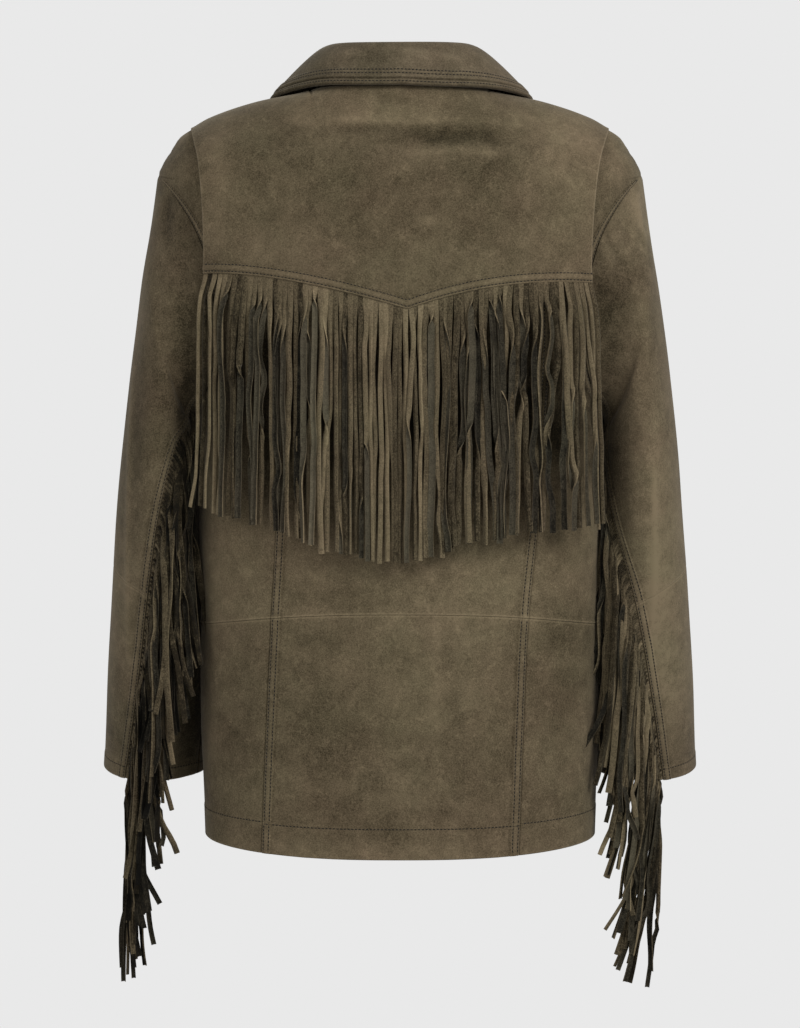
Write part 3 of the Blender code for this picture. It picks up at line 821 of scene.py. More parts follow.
# %% Sleeve creases
LEFT_SLEEVE_CREASES = (
    (2.6, 1.1, (-242, -225), (-246, -330), (-249, -430), (-250, -515), (-245, -550)),
    (6, -0.7, (-235, -250), (-238, -330), (-240, -418)),
    (5, -1.3, (-206, -90), (-211, -118), (-209, -140)),
    (4, 0.8, (-216, -92), (-220, -120)),
    (9, -1.4, (-190, -150), (-196, -200), (-186, -260)),
    (10, 1.2, (-205, -180), (-214, -230), (-206, -280)),
    (8, 0.7, (-225, -200), (-232, -260)),
    (7, 0.7, (-210, -330), (-226, -352), (-244, -362)),
    (6, -1.0, (-232, -440), (-242, -470), (-246, -520)),
)
RIGHT_SLEEVE_CREASES = (
    (2.6, 1.1, (229, -312), (230, -380), (231, -442), (229, -500), (227, -540)),
    (6, -0.7, (221, -312), (222, -400), (222, -500)),
    (4, 1.2, (209, -98), (213, -112), (212, -134)),
    (5, -1.2, (200, -112), (206, -140)),
    (5, 1.3, (178, -138), (186, -150), (190, -168)),
    (6, -1.3, (182, -128), (196, -148), (205, -172)),
    (10, -1.1, (196, -180), (190, -230), (196, -280)),
    (7, 0.9, (215, -170), (222, -215), (224, -260)),
    (6, 0.8, (205, -385), (214, -392), (226, -390)),
    (6, 0.6, (232, -330), (241, -345), (250, -350)),
    (2.8, 1.1, (212, -88), (217, -110), (222, -140)),
    (2.8, 0.9, (189, -128), (195, -144)),
)
# On each sleeve the dark patches next to the body, within about 210 mm of the middle, are painted shade on
# the sleeve's inner side.
LEFT_PATCHES = ((-236, -480, 12, 90, 0.2), (-212, -190, 14, 60, -0.02), (-200, -120, 24, 22, -0.18),
                (-190, -250, 12, 50, -0.12), (-192, -520, 16, 130, -0.6), (-188, -380, 9, 90, -0.7),
                (-205, -230, 30, 90, -0.1), (-245, -540, 30, 110, 0.4))
RIGHT_PATCHES = ((229, -430, 7, 110, 0.3), (238, -500, 22, 90, 0.2), (212, -250, 20, 70, 0.1),
                 (186, -190, 16, 40, -0.3), (183, -260, 12, 60, -0.25), (186, -520, 10, 130, -0.8),
                 (188, -380, 9, 90, -0.6),
                 (234, -440, 30, 170, 0.38), (215, -110, 30, 50, 0.6), (252, -540, 30, 90, 0.35))

# %% The sleeve panels
CUFF_HEM = hem_edge(CUFF_DEPTH)
UNDERARM_FULLNESS = 5.0 * MM  # the cloth on the inner side of a sleeve leans on the body
LEAN_FROM, LEAN_WIDTH = 0.204, 0.016
CAP_FROM, CAP_WIDTH, CAP_ROWS = 0.200, 0.015, 0.03  # where the cap's edge goes under the shoulder
CAP_IN, CAP_UP = 1.3 * MM, 2.2 * MM


def sleeve_surface(side, first, last):
    def surface(u, row):
        angle = mix(first, last, u)
        point = sleeve_point(side, angle, row)
        leaning = ease((LEAN_FROM - np.abs(point[..., 0])) / LEAN_WIDTH) * ease((row - 0.5) / 0.8)
        point[..., 0] -= side * UNDERARM_FULLNESS * leaning
        hidden = ease((np.abs(point[..., 0]) - CAP_FROM) / CAP_WIDTH) * fall(row, CAP_ROWS)
        point = point - hidden[..., None] * np.array([side * CAP_IN, 0, -CAP_UP])
        return point, sleeve_normal(side, angle, row)

    return surface


arms = ((-1, "left", LEFT_SLEEVE_CREASES, LEFT_PATCHES), (1, "right", RIGHT_SLEEVE_CREASES, RIGHT_PATCHES))
for side, word, creases, patches in arms:
    top = sleeve_surface(side, FRONT_SEAM, BACK_SEAM + WHOLE_TURN)
    under = sleeve_surface(side, BACK_SEAM, FRONT_SEAM)
    parts = (
        (f"top_sleeve_{word}_upper", top, (0, ELBOW), (BUTT, WELTED, BUTT, FAINT_BUTT)),
        (f"top_sleeve_{word}_lower", top, (ELBOW, CUFF), (BUTT, WELTED, FAINT_BUTT, CUFF_HEM)),
        (f"under_sleeve_{word}", under, (0, CUFF), (BUTT, BUTT, BUTT, CUFF_HEM)),
    )
    for node, surface, span, edges in parts:
        suede_piece(node, surface, span, edges, SLEEVE_SUEDE, "suede_sleeve", 3 * MM,
                    creases=creases, patches=patches)

# %% [markdown]
# ## The yoke
#
# The yoke is a second layer over the shoulders. Its lower edge falls to a point in the middle and
# is stitched down twice. Its sides are only turned under, so they stand a little off the back.

# %% The yoke's outline
YokeSide = namedtuple("YokeSide", "corner_x corner_z bend")
YOKE_LEFT = YokeSide(-0.1695, -0.1668, 1.55)
YOKE_RIGHT = YokeSide(0.1655, -0.1753, 2.3)
YOKE_POINT_X, YOKE_POINT_Z = 0.0067, -0.2008
YOKE_NECK_ROW, YOKE_TOP_ROW, YOKE_NECK_SHARE = 10.96, 8.6, 0.4
YOKE_LIFT, YOKE_CORNER_LIFT, YOKE_TUCK_LIFT, SHOULDER_FULLNESS = 2.6 * MM, 9.0 * MM, 2.4 * MM, 1.3 * MM
YOKE_THICK = 1.5 * MM


def by_side(left, key):
    return np.where(left, getattr(YOKE_LEFT, key), getattr(YOKE_RIGHT, key))


def yoke_hem_z(x):
    corner_x, corner_z, bend = (by_side(x < YOKE_POINT_X, key) for key in ("corner_x", "corner_z", "bend"))
    share = np.clip((x - YOKE_POINT_X) / (corner_x - YOKE_POINT_X), 0, 1)
    return mix(corner_z, YOKE_POINT_Z, (1 - share) ** bend)


def yoke_hem_x(u):
    return mix(YOKE_POINT_X, by_side(u < 0.5, "corner_x"), np.abs(2 * u - 1))


def yoke_place(u, down):
    """Where on the body the yoke lies and how far off it: u runs from left to right."""
    edge = np.abs(2 * u - 1)
    past_neck = np.clip((edge - YOKE_NECK_SHARE) / (1 - YOKE_NECK_SHARE), 0, 1)
    top_row = mix(YOKE_NECK_ROW, YOKE_TOP_ROW, past_neck)
    reach = np.clip(edge / YOKE_NECK_SHARE, 0, 1)
    top_x = np.sign(u - 0.5) * smooth(BODY, top_row)[..., 0] * reach
    low_x = yoke_hem_x(u)
    x = mix(top_x, low_x, 1 - (1 - down) ** 2)
    row = mix(top_row, row_at(low_x, yoke_hem_z(low_x)), down)
    corner = ease((edge - 0.7) / 0.3) * ease(down * 1.6)
    high = fall(down, 0.2)
    lift = mix(YOKE_LIFT, YOKE_CORNER_LIFT, corner) + SHOULDER_FULLNESS * ease((edge - 0.4) / 0.2) * high
    tuck = ease((edge - 0.86) / 0.14) * high  # flat into the shoulder seam
    return angle_at(x, row), row, mix(lift, YOKE_TUCK_LIFT, tuck)


def yoke_surface(down, u):
    angle, row, lift = yoke_place(u, down)
    return off_body(angle, row, lift + YOKE_THICK)


# %% The yoke's edges
YOKE_ROWS = (2.3, 8.3)  # mm from the lower edge


def yoke_hem_profile(d, v):
    first, last = YOKE_ROWS
    rows = hump(d, first, 1.0) + hump(d, last, 1.0)
    height = 0.6 * fall(d, 1.6, last + 0.4) + 0.25 * hump(d, 5.3, 3) - 0.45 * rows - 0.9 * fall(d, 0.8)
    wear = 0.5 * hump(d, 0.9, 0.9) + 0.4 * hump(d, 5.3, 2.6) - 0.1 * rows
    # The stitch rows and the strip just inside the band are darkened as painted shade.
    return height, wear - 0.25 * hump(d, last + 1.8, 1.5)


def yoke_top_profile(d, v):
    return -2.4 * fall(d, 4.5), 0


def yoke_side_profile(d, v):
    return turned_profile(d, v)[0], 1.2 * hump(d, 0.9, 1.4)


YOKE_TOP = Edge(near(0.4, 0.9, 1.6, 2.4, 3.4, 4.6), yoke_top_profile)
YOKE_SIDE = Edge(PLAIN_NEAR, yoke_side_profile)
YOKE_HEM = Edge(near(0.4, 0.8, 1.3, 1.8, 2.3, 2.8, 3.4, 4.4, 5.4, 6.4, 7.2, 7.8, 8.3, 8.8, 9.4, 10.2, 11.5),
                yoke_hem_profile)
YOKE_CREASES = (
    (3.6, 1.1, (-76, -30), (-30, -31), (20, -33), (62, -29)),
    (4, 0.7, (-62, -19), (-20, -22), (30, -20)),
    (4, -0.8, (-70, -38), (-20, -39), (30, -38)),
    (6, -1.2, (10, -48), (50, -44), (90, -47)),
    (5, 1.1, (18, -64), (50, -58), (92, -63)),
    (5, 0.8, (96, -62), (128, -78), (150, -74)),
    (4, -0.7, (130, -54), (150, -66), (158, -84)),
    (13, 0.8, (-120, -60), (-100, -100), (-108, -150)),
    (13, 0.8, (130, -70), (110, -110), (118, -150)),
    (1.5, 0.3, (20, -124), (36, -125)),
    (1.2, 0.25, (22, -121), (34, -121)),
)
YOKE_PATCHES = ((155, -60, 34, 40, 0.34), (-128, -85, 36, 50, -0.12),
                (-165, -80, 12, 50, 0.26), (-30, -30, 90, 7, 0.3),
                (60, -61, 60, 6, 0.24), (150, -130, 30, 60, 0.1), (-100, -5, 40, 14, 0.14),
                (45, -46, 48, 9, -0.34), (-40, -120, 60, 30, -0.08),
                (27, -123, 12, 4, 0.3), (120, -30, 30, 20, 0.2), (60, -150, 80, 30, 0.08))
suede_piece("yoke", yoke_surface, (0, 1), (YOKE_TOP, YOKE_HEM, YOKE_SIDE, YOKE_SIDE), YOKE_SUEDE,
            "suede_yoke", 3.5 * MM, YOKE_THICK, YOKE_CREASES, patches=YOKE_PATCHES)

# %% [markdown]
# ## The collar
#
# The collar stands up round the neck and folds over. Two layers of suede are turned and stitched
# near the outer edge, which rolls a little off the shoulders.

# %% The collar's surfaces
FOLD = np.array([0.067, 0.063, 0.077, 0.0390, 0.0357, -0.040])
COLLAR_EDGE = np.array([(10.72, 9.0), (10.6, 8.2), (10.25, 5.5), (10.0, 4.6), (9.65, 4.2)])  # row, lift
COLLAR_RAISE = (0.115, 0.03)  # it sits higher on the left than on the right
EDGE_TURN = 45
STAND_END, FALL_END_FOLD, FALL_END_EDGE = 174, 176, 158
COLLAR_THICK = 2.6 * MM
FOLD_RISE, ROLL_OUT, ROLL_UP, FALL_INSET = 2.4 * MM, 10.8 * MM, 4.0 * MM, 1.0 * MM


def fold_point(turn):
    return ring_point(np.radians(turn - 90), FOLD)


def outward_at(turn):
    angle = np.radians(turn - 90)
    return np.stack([np.cos(angle), np.sin(angle), 0 * angle], axis=-1)


def collar_edge_point(turn):
    row, lift = np.moveaxis(smooth(COLLAR_EDGE, np.abs(turn) / EDGE_TURN), -1, 0)
    row = row + mix(*COLLAR_RAISE, ease((turn + 45) / 100)) * fall(np.abs(turn), 50, 70)
    return off_body(np.radians(turn - 90), row, lift * MM + COLLAR_THICK)[0]


def fall_point(down, u):
    turn = mix(-1, 1, u) * mix(FALL_END_FOLD, FALL_END_EDGE, down)
    up = np.array([0, 0, 1])
    start = fold_point(turn) + up * (COLLAR_THICK + FOLD_RISE) - outward_at(turn) * FALL_INSET
    roll = start + outward_at(turn) * ROLL_OUT + up * ROLL_UP
    down = down[..., None]
    return mix(mix(start, roll, down), mix(roll, collar_edge_point(turn), down), down)


def stand_point(up, u):
    turn = mix(-STAND_END, STAND_END, u)
    return mix(body_point(np.radians(turn - 90), NECK), fold_point(turn), up[..., None])


def with_normal(point_of, facing):
    def surface(a, b):
        a, b = alike(a, b)
        inside = np.clip([a, b], STEP, 1 - STEP)
        return point_of(a, b), normal_of(point_of, *inside) * facing

    return surface


# %% The collar's edges and panels
COLLAR_ROWS, COLLAR_GROOVE = (3.0, 10.2, 13.4), 5.6  # mm from the outer edge


def collar_profile(d, v):
    rows = sum(hump(d, row, 0.9) for row in COLLAR_ROWS)
    groove, drop = hump(d, COLLAR_GROOVE, 1.3), fall(d, 1.3)
    band = ease((d - COLLAR_GROOVE) / 1.6) * fall(d, 1.8, 13.6)
    wear = 0.45 * hump(d, 7.3, 1.4) + 0.35 * hump(d, 4.2, 1.0) + 0.3 * hump(d, 11.8, 1.4)
    height = 0.8 * band - 0.35 * rows - 0.7 * groove - 1.2 * drop
    # The stitch rows, the groove and the rolled-under edge are darkened as painted shade.
    return height, wear - 0.2 * rows - 0.9 * groove - 0.3 * drop


COLLAR_HEM = Edge(near(0.5, 1.0, 1.6, 2.3, 3.0, 3.7, 4.4, 5.0, 5.6, 6.3, 7.2, 8.2, 9.2, 9.7, 10.2, 10.8,
                       11.8, 12.8, 13.4, 14.0, 15.0, 17.0), collar_profile)
COLLAR_CREASES = (
    (3.0, 0.8, (-10, 34), (30, 30), (60, 24)),
    (4, -0.6, (-80, 14), (-40, 26), (0, 24)),
    (3, 0.7, (50, 12), (70, 17)),
    (4, 0.6, (-60, 30), (-30, 33)),
)
COLLAR_PATCHES = ((-60, 22, 40, 7, 0.18), (40, 26, 50, 6, 0.2), (100, 4, 24, 12, 0.15))
suede_piece("collar_stand", with_normal(stand_point, -1), (0, 1), (BUTT, TURNED, TURNED, TURNED),
            COLLAR_SUEDE, "suede_collar", 3.5 * MM, 2.0 * MM)
suede_piece("collar_fall", with_normal(fall_point, 1), (0, 1), (TURNED, COLLAR_HEM, TURNED, TURNED),
            COLLAR_SUEDE, "suede_collar", 3.5 * MM, COLLAR_THICK, COLLAR_CREASES,
            patches=COLLAR_PATCHES)

# %% [markdown]
# ## Stitches
#
# The needle goes down every three millimetres or so. One stitch is a short rounded rod whose ends
# dive into the leather, and beside it a small dark disc, just off the leather, is the painted
# shade of the needle hole. Both are shaped once, and copied along each row, which is taken from
# the panel's own points.

# %% One stitch and its hole
STITCH_PITCH = 3.3 * MM
SIDES = 5
turn = np.arange(SIDES) * 2 * math.pi / SIDES


def ring_at(x, radius, rise):
    return np.stack([0 * turn + x, np.cos(turn) * radius, np.sin(turn) * radius + rise], axis=-1)


def spindle(rings, tips):
    """A closed form from rings of points and two end points, and its triangles."""
    points = np.concatenate(rings + [np.array(tips)]) * MM
    faces = []
    for ring in range(len(rings) - 1):
        for k in range(SIDES):
            a, b = ring * SIDES + k, ring * SIDES + (k + 1) % SIDES
            faces += [(a, b, b + SIDES), (a, b + SIDES, a + SIDES)]
    first, last, base = len(rings) * SIDES, len(rings) * SIDES + 1, (len(rings) - 1) * SIDES
    for k in range(SIDES):
        faces += [(first, (k + 1) % SIDES, k), (last, base + k, base + (k + 1) % SIDES)]
    return points, np.array(faces)


STITCH = spindle([ring_at(-0.6, 0.32, 0.0), ring_at(0, 0.38, 0.1), ring_at(0.6, 0.32, 0.0)],
                 ((-1.0, 0, -0.3), (1.0, 0, -0.3)))
# The needle hole is a dark disc standing just off the leather: painted shade of the hole.
hole_ring = np.stack([np.cos(turn) * 1.1, np.sin(turn) * 0.9, 0 * turn + 0.16], axis=-1)
hole_faces = [(k, (k + 1) % SIDES, SIDES) for k in range(SIDES)]
hole_faces += [((k + 1) % SIDES, k, SIDES + 1) for k in range(SIDES)]
HOLE_SHADE_DISC = (np.concatenate([hole_ring, [(0, 0, 0.3)], [(0, 0, -0.2)]]) * MM, np.array(hole_faces))


def flat_look(name, colour, roughness):
    made, tree, shader = add_material(name)
    shades = [tuple(share * c for c in colour) + (1,) for share in (0.6, 1.4)]
    grain = add_noise(tree, object_space(tree), 900, 2)
    fill(tree, shader, {"Base Color": mix_colours(tree, grain, *shades), "Roughness": roughness})
    return made


THREAD = flat_look("brown_thread", (0.085, 0.065, 0.036), 0.9)
# The needle holes' near-black is painted shade.
NEEDLE_HOLE_SHADE = flat_look("needle_hole_painted_shade", (0.010, 0.008, 0.005), 1.0)


# %% Rows of stitches
ROW_MARGIN = 1.5 * MM


def panel_rows(node, edge, distances, keep=(-1, NECK + 1)):
    """The panel's points and normals at these mm from an edge, between two rows of the body."""
    panel, made = panels[node], []
    gap = getattr(panel, edge) / MM
    for distance in distances:
        if edge in ("left", "right"):
            pick = (slice(None), int(np.argmin(np.abs(gap[len(gap) // 2] - distance))))
        else:
            pick = int(np.argmin(np.abs(gap[:, 0] - distance)))
        inside = (panel.v[pick] > keep[0]) & (panel.v[pick] < keep[1])
        made.append((panel.points[pick][inside], panel.normals[pick][inside]))
    return made


def along_line(at, lengths, values):
    return np.stack([np.interp(at, lengths, values[:, k]) for k in range(3)], axis=-1)


def square_to(axis, vectors):
    """The vectors, leaned until they are square to this axis."""
    return unit(vectors - axis * (vectors * axis).sum(-1, keepdims=True))


def places_along(points, normals):
    """Where the stitches of a row are, and their axes."""
    lengths = arc_lengths(points)
    count = int((lengths[-1] - 2 * ROW_MARGIN) / STITCH_PITCH)
    at = ROW_MARGIN + (np.arange(count) + 0.5) * STITCH_PITCH
    place = along_line(at, lengths, points)
    along = unit(along_line(at + 0.5 * MM, lengths, points) - place)
    normal = square_to(along, unit(along_line(at, lengths, normals)))
    return place, along, np.cross(normal, along), normal


def sewing(name, groups, slot):
    """One joined mesh of copies: 0 for stitches or 1 for dark discs of painted shade at the needle holes,
    then their places and axes.
    """
    points, faces, looks = [], [], []
    for look, place, *axes in groups:
        form, form_faces = (STITCH, HOLE_SHADE_DISC)[look]
        made = place[:, None] + sum(axis[:, None] * form[:, k, None] for k, axis in enumerate(axes))
        first = sum(map(len, points)) + np.arange(len(place)) * len(form)
        points.append(made.reshape(-1, 3))
        faces.append((form_faces + first[:, None, None]).reshape(-1, 3))
        looks += [look] * len(faces[-1])
    piece = add_mesh(name, np.concatenate(points), np.concatenate(faces), (THREAD, NEEDLE_HOLE_SHADE), looks)
    hand_over(piece, slot)
    print(f"{name}: {len(points) // 2} rows, {len(looks)} triangles")


def stitching(name, rows, slot):
    groups = []
    for points, normals in rows:
        place, *axes = places_along(points, normals)
        groups += [(0, place, *axes), (1, place + axes[0] * STITCH_PITCH / 2, *axes)]
    sewing(name, groups, slot)


ARMHOLE_ROWS = (ARMPIT + 0.08, TIP - 0.05)
WELT_ROWS = (FIRST_ROW, SECOND_ROW)

stitching("stitching_yoke", panel_rows("yoke", "right", YOKE_ROWS), "suede_yoke")
stitching("stitching_collar", panel_rows("collar_fall", "right", COLLAR_ROWS), "suede_collar")
back_rows = []
for height in ("lower", "upper"):
    for edge in ("left", "right"):
        back_rows += panel_rows(f"back_centre_{height}", edge, WELT_ROWS)
for word in ("side_left", "centre", "side_right"):
    back_rows += panel_rows(f"back_{word}_lower", "start", (HEM_DEPTH,))
for word in ("left", "right"):
    back_rows += panel_rows(f"back_side_{word}_upper", word, WELT_ROWS, ARMHOLE_ROWS)
stitching("stitching_back", back_rows, "suede_body")
front_rows = []
for word, outer, opening in (("right", "left", "right"), ("left", "right", "left")):
    front_rows += panel_rows(f"front_{word}", outer, WELT_ROWS, ARMHOLE_ROWS)
    front_rows += panel_rows(f"front_{word}", opening, (FRONT_ROW,))
    front_rows += panel_rows(f"front_{word}", "start", (HEM_DEPTH,))
stitching("stitching_fronts", front_rows, "suede_body")
for word in ("left", "right"):
    rows = panel_rows(f"top_sleeve_{word}_upper", "right", WELT_ROWS)
    rows += panel_rows(f"top_sleeve_{word}_lower", "right", WELT_ROWS)
    for node in (f"top_sleeve_{word}_lower", f"under_sleeve_{word}"):
        rows += panel_rows(node, "end", (CUFF_DEPTH,))
    stitching(f"stitching_sleeve_{word}", rows, "suede_sleeve")

# %% [markdown]
# ## Fringe
#
# A fringe is a band of suede cut into strips about four and a half millimetres wide. A strip is
# one closed ribbon: a line that hangs, a width that narrows where the strip curls, and a twist
# that turns its charcoal flesh side to the front or its cut edge. The strips are made together as
# arrays, and each keeps its own shape.

# %% Ribbons
ACROSS = np.array([-1, -0.8, 0, 0.8, 1])
STRIP_THICK = 1.1 * MM
DOWN, RIGHT = np.array([0.0, 0, -1]), np.array([1.0, 0, 0])


def ribbons(path, across, half, curl, twist):
    """Closed ribbons: strips x steps x two faces x five points. Their width points across."""
    along = unit(np.gradient(path, axis=1))
    across = square_to(along, across)
    outward = np.cross(along, across)
    across, outward = (across * np.cos(twist)[..., None] + outward * np.sin(twist)[..., None],
                       outward * np.cos(twist)[..., None] - across * np.sin(twist)[..., None])
    reach = (half * (1 - 0.25 * curl**2))[..., None] * ACROSS
    sag = (half * curl)[..., None] * ACROSS**2
    sheet = path[:, :, None] + across[:, :, None] * reach[..., None] - outward[:, :, None] * sag[..., None]
    lift = outward[:, :, None] * STRIP_THICK / 2
    return np.stack([sheet + lift, sheet - lift], axis=2)


def ribbon_faces(shape):
    strips, steps, _, wide = shape[:4]
    at = np.arange(strips * steps * 2 * wide).reshape(strips, steps, 2, wide)

    def quads(a, b, c, d):
        return np.stack([a, b, c, d], axis=-1).reshape(-1, 4)

    top, low = at[:, :, 0], at[:, :, 1]
    front = quads(top[:, :-1, :-1], top[:, 1:, :-1], top[:, 1:, 1:], top[:, :-1, 1:])
    back = quads(low[:, :-1, 1:], low[:, 1:, 1:], low[:, 1:, :-1], low[:, :-1, :-1])
    left = quads(top[:, :-1, 0], low[:, :-1, 0], low[:, 1:, 0], top[:, 1:, 0])
    right = quads(low[:, :-1, -1], top[:, :-1, -1], top[:, 1:, -1], low[:, 1:, -1])
    head = quads(top[:, 0, :-1], top[:, 0, 1:], low[:, 0, 1:], low[:, 0, :-1])
    foot = quads(low[:, -1, :-1], low[:, -1, 1:], top[:, -1, 1:], top[:, -1, :-1])
    looks = [0] * len(front) + [1] * len(back) + [0] * (len(left) + len(right) + len(head) + len(foot))
    return np.concatenate([front, back, left, right, head, foot]), looks


def fringe_piece(name, node, points, tone):
    faces, looks = ribbon_faces(points.shape)
    wear = np.broadcast_to(0.5 * (np.abs(ACROSS) == 1), points.shape[:4])
    patch = np.broadcast_to(tone[:, None, None, None], points.shape[:4])
    piece = add_mesh(name, points, faces, (FRINGE_SUEDE, FLESH_SIDE), looks, wear=wear, patch=patch)
    piece.data.set_sharp_from_angle(angle=math.radians(50))
    hand_over(piece, "suede_fringe", node)
    print(f"{name}: {points.shape[0]} strips, {2 * len(faces)} triangles")


def slow(random, count, reach):
    """Random numbers that drift from one strip to the next."""
    raw = random.normal(size=count + 2 * reach)
    kernel = np.hanning(2 * reach + 1)
    return np.convolve(raw, kernel / np.linalg.norm(kernel), "valid")[:count]


# %% [markdown]
# ### The fringe across the back
#
# The band is caught under the yoke's edge. Some groups of strips lie flat and brown. Others have
# turned over in their first centimetres, and show their flesh side with dark gaps between. The
# groups are listed from left to right, and each strip then gets its own chance numbers.

# %% Groups of strips
Group = namedtuple("Group", "x_end flipped edgewise loose tone")
GROUPS = [Group(*row) for row in (  # right end, mm from the centre, then shares, looseness and tone
    (-165, 0.40, 0.05, 0.40, 0.14),
    (-150, 0.10, 0.08, 0.30, 0.44),
    (-122, 0.48, 0.08, 0.60, 0.14),
    (-62, 0.58, 0.05, 0.60, 0.08),
    (-28, 0.04, 0.03, 0.26, -0.02),
    (2, 0.05, 0.08, 0.32, 0.12),
    (22, 0.05, 0.15, 0.45, 0.24),
    (62, 0.56, 0.00, 0.60, -0.06),
    (90, 0.60, 0.08, 0.65, -0.12),
    (128, 0.66, 0.12, 0.70, -0.06),
    (162, 0.26, 0.16, 0.85, 0.04),
    (200, 0.05, 0.05, 0.35, 0.04),
)]
TIPS = np.array([  # where the strips end: x and z, mm
    (-181, -372), (-155, -381), (-132, -387), (-113, -393), (-94, -401), (-80, -405), (-67, -412),
    (-48, -414), (-21, -424), (0, -422), (12, -424), (20, -418), (41, -414), (60, -407), (87, -403),
    (102, -399), (112, -396), (139, -397), (150, -395), (173, -391), (178, -405),
])
STRIP_HALF = 2.5 * MM
BACK_STRIPS, STRIP_STEPS = 78, 36
KINKS = 5  # places where each strip changes direction
random = np.random.default_rng(11)


def strip_twists(random, flipped, edgewise, loose, share):
    """A twist in radians along each strip: flat at its root, then one or two turns."""
    count = len(flipped)
    chance = random.random(count)
    hand = random.choice([-1, 1], count)
    flip = chance < flipped
    edge = (chance >= flipped) & (chance < flipped + edgewise)
    some, little = random.uniform(0.9, 1.4, count), random.normal(0, 0.22, count)
    first = np.where(flip, math.pi, np.where(edge, some, little))
    first = hand * (first + random.normal(0, 0.25, count) * loose)
    start = random.uniform(0.0, 0.1, count) + 0.04 * edge
    width = random.uniform(0.08, 0.3, count)
    again = random.random(count) < 0.25 + 0.5 * loose
    second = np.where(again, random.choice([0.0, 0.5, -0.8, 1.0, -1.0], count) * math.pi * (loose > 0.25), 0)
    second = second + random.normal(0, 0.5, count) * loose
    later = random.uniform(0.35, 0.8, count)
    slow_turn = random.uniform(0.08, 0.22, count)
    twist = first[:, None] * ease((share - start[:, None]) / width[:, None])
    twist = twist + second[:, None] * ease((share - later[:, None]) / slow_turn[:, None])
    speed, begin = random.uniform(1, 3, (count, 1)), random.random((count, 1))
    wobble = np.sin(2 * math.pi * (share * speed + begin))
    return twist + 0.25 * loose[:, None] * wobble * ease(4 * share)


def kinks(random, share, count, size):
    """Sideways offsets that change direction at a few places, as creased strips do. None at the root."""
    at = np.sort(random.uniform(0.1, 1.0, (count, KINKS)), axis=1)
    offset = random.normal(size=(count, KINKS)) * size[:, None]
    made = np.stack([np.interp(share, [0, *a, 1.15], [0, *o, 0.5 * o[-1]]) for a, o in zip(at, offset)])
    made[:, 1:-1] = 0.5 * made[:, 1:-1] + 0.25 * (made[:, 2:] + made[:, :-2])
    return made


def waves(random, share, count, size, turns):
    """Two gentle waves along each strip, none at its root."""
    total = 0
    for part in (1.0, 0.5):
        speed = random.uniform(*turns, count)[:, None] / part
        total = total + part * np.sin(2 * math.pi * (speed * share + random.random(count)[:, None]))
    return size[:, None] * total * ease(3 * share)


# %% The back fringe
share = np.linspace(0, 1, STRIP_STEPS) ** 1.15
hem_left, hem_right = YOKE_LEFT.corner_x - 3.5 * MM, YOKE_RIGHT.corner_x + 4.5 * MM
x = hem_left + (np.arange(BACK_STRIPS) + 0.5) * (hem_right - hem_left) / BACK_STRIPS
side_width = np.where(x < YOKE_POINT_X, YOKE_POINT_X - hem_left, hem_right - YOKE_POINT_X)
u = 0.5 + 0.5 * (x - YOKE_POINT_X) / side_width
angle, row, lift = yoke_place(u, 1)
level = body_normal(angle, row) * np.array([1, 1, 0])
level = unit(level)
root = body_point(angle, row) + level * (lift - 0.4 * MM)[:, None]
root[:, 0] = x + level[:, 0] * 2 * MM
root[:, 2] = yoke_hem_z(yoke_hem_x(u)) + 3 * MM
group = [next(g for g in GROUPS if x_here / MM < g.x_end) for x_here in x]
flipped, edgewise, loose, tone = (np.array([getattr(g, key) for g in group]) for key in Group._fields[1:])
edgewise = 0.5 * edgewise
tip = np.interp(x / MM, TIPS[:, 0], TIPS[:, 1]) * MM + random.normal(0, 1.8, BACK_STRIPS) * MM
drop = root[:, 2] - tip
drift = (3.2 * slow(random, BACK_STRIPS, 2) + 1.7 * random.normal(size=BACK_STRIPS)) * loose * MM
layer = (np.arange(BACK_STRIPS) % 3) * 1.2 + random.uniform(0, 5, BACK_STRIPS) * loose
across = np.cross(level, DOWN)
sway = waves(random, share, BACK_STRIPS, 1.2 * loose * MM, (0.6, 1.6))
sway = sway + drift[:, None] * share**1.2
sway = sway + kinks(random, share, BACK_STRIPS, 2.7 * loose * MM)
flare = np.sign(x) * np.clip(np.abs(x) / hem_right, 0, 1) ** 6  # the last strips spread towards the arms
sway = sway + flare[:, None] * (6.5 * MM * ease(8 * share) + 5.5 * MM * share**2)
sway[0] -= 9 * MM * ease((share - 0.84) / 0.25)  # the first strip kicks out at its tip
outward = (layer * MM)[:, None] * ease(4 * share) + (0.4 * MM + 2.4 * MM * ease(4 * share))
outward = outward + np.abs(waves(random, share, BACK_STRIPS, loose * MM, (0.6, 1.4)))
outward = outward + np.abs(kinks(random, share, BACK_STRIPS, 1.6 * loose * MM))
path = root[:, None] + across[:, None] * sway[..., None] + level[:, None] * outward[..., None]
path = path + DOWN * (drop[:, None] * share)[..., None]
twist = strip_twists(random, flipped, edgewise, loose, share)
curl = random.uniform(0.4, 0.85, BACK_STRIPS)[:, None] * ease(9 * (share - 0.01))
wider = random.uniform(-0.12, 0.08, BACK_STRIPS) + 0.26 * (loose > 0.5)
half = STRIP_HALF * (0.88 + (0.07 + wider[:, None]) * ease(7 * (share - 0.01)))
points = ribbons(path, across[:, None], half, curl, twist)
tone = tone - 0.15 + random.normal(0, 0.2, BACK_STRIPS)
fringe_piece("fringe_back", "back_fringe", points, tone)

# %% [markdown]
# ### The fringe down the sleeves
#
# The sleeve's band is caught in the slanting seam behind the arm. Each strip leaves the seam
# sideways, folds over its own root and then hangs, so the roots make a row of small curls and the
# strips lie many deep below.

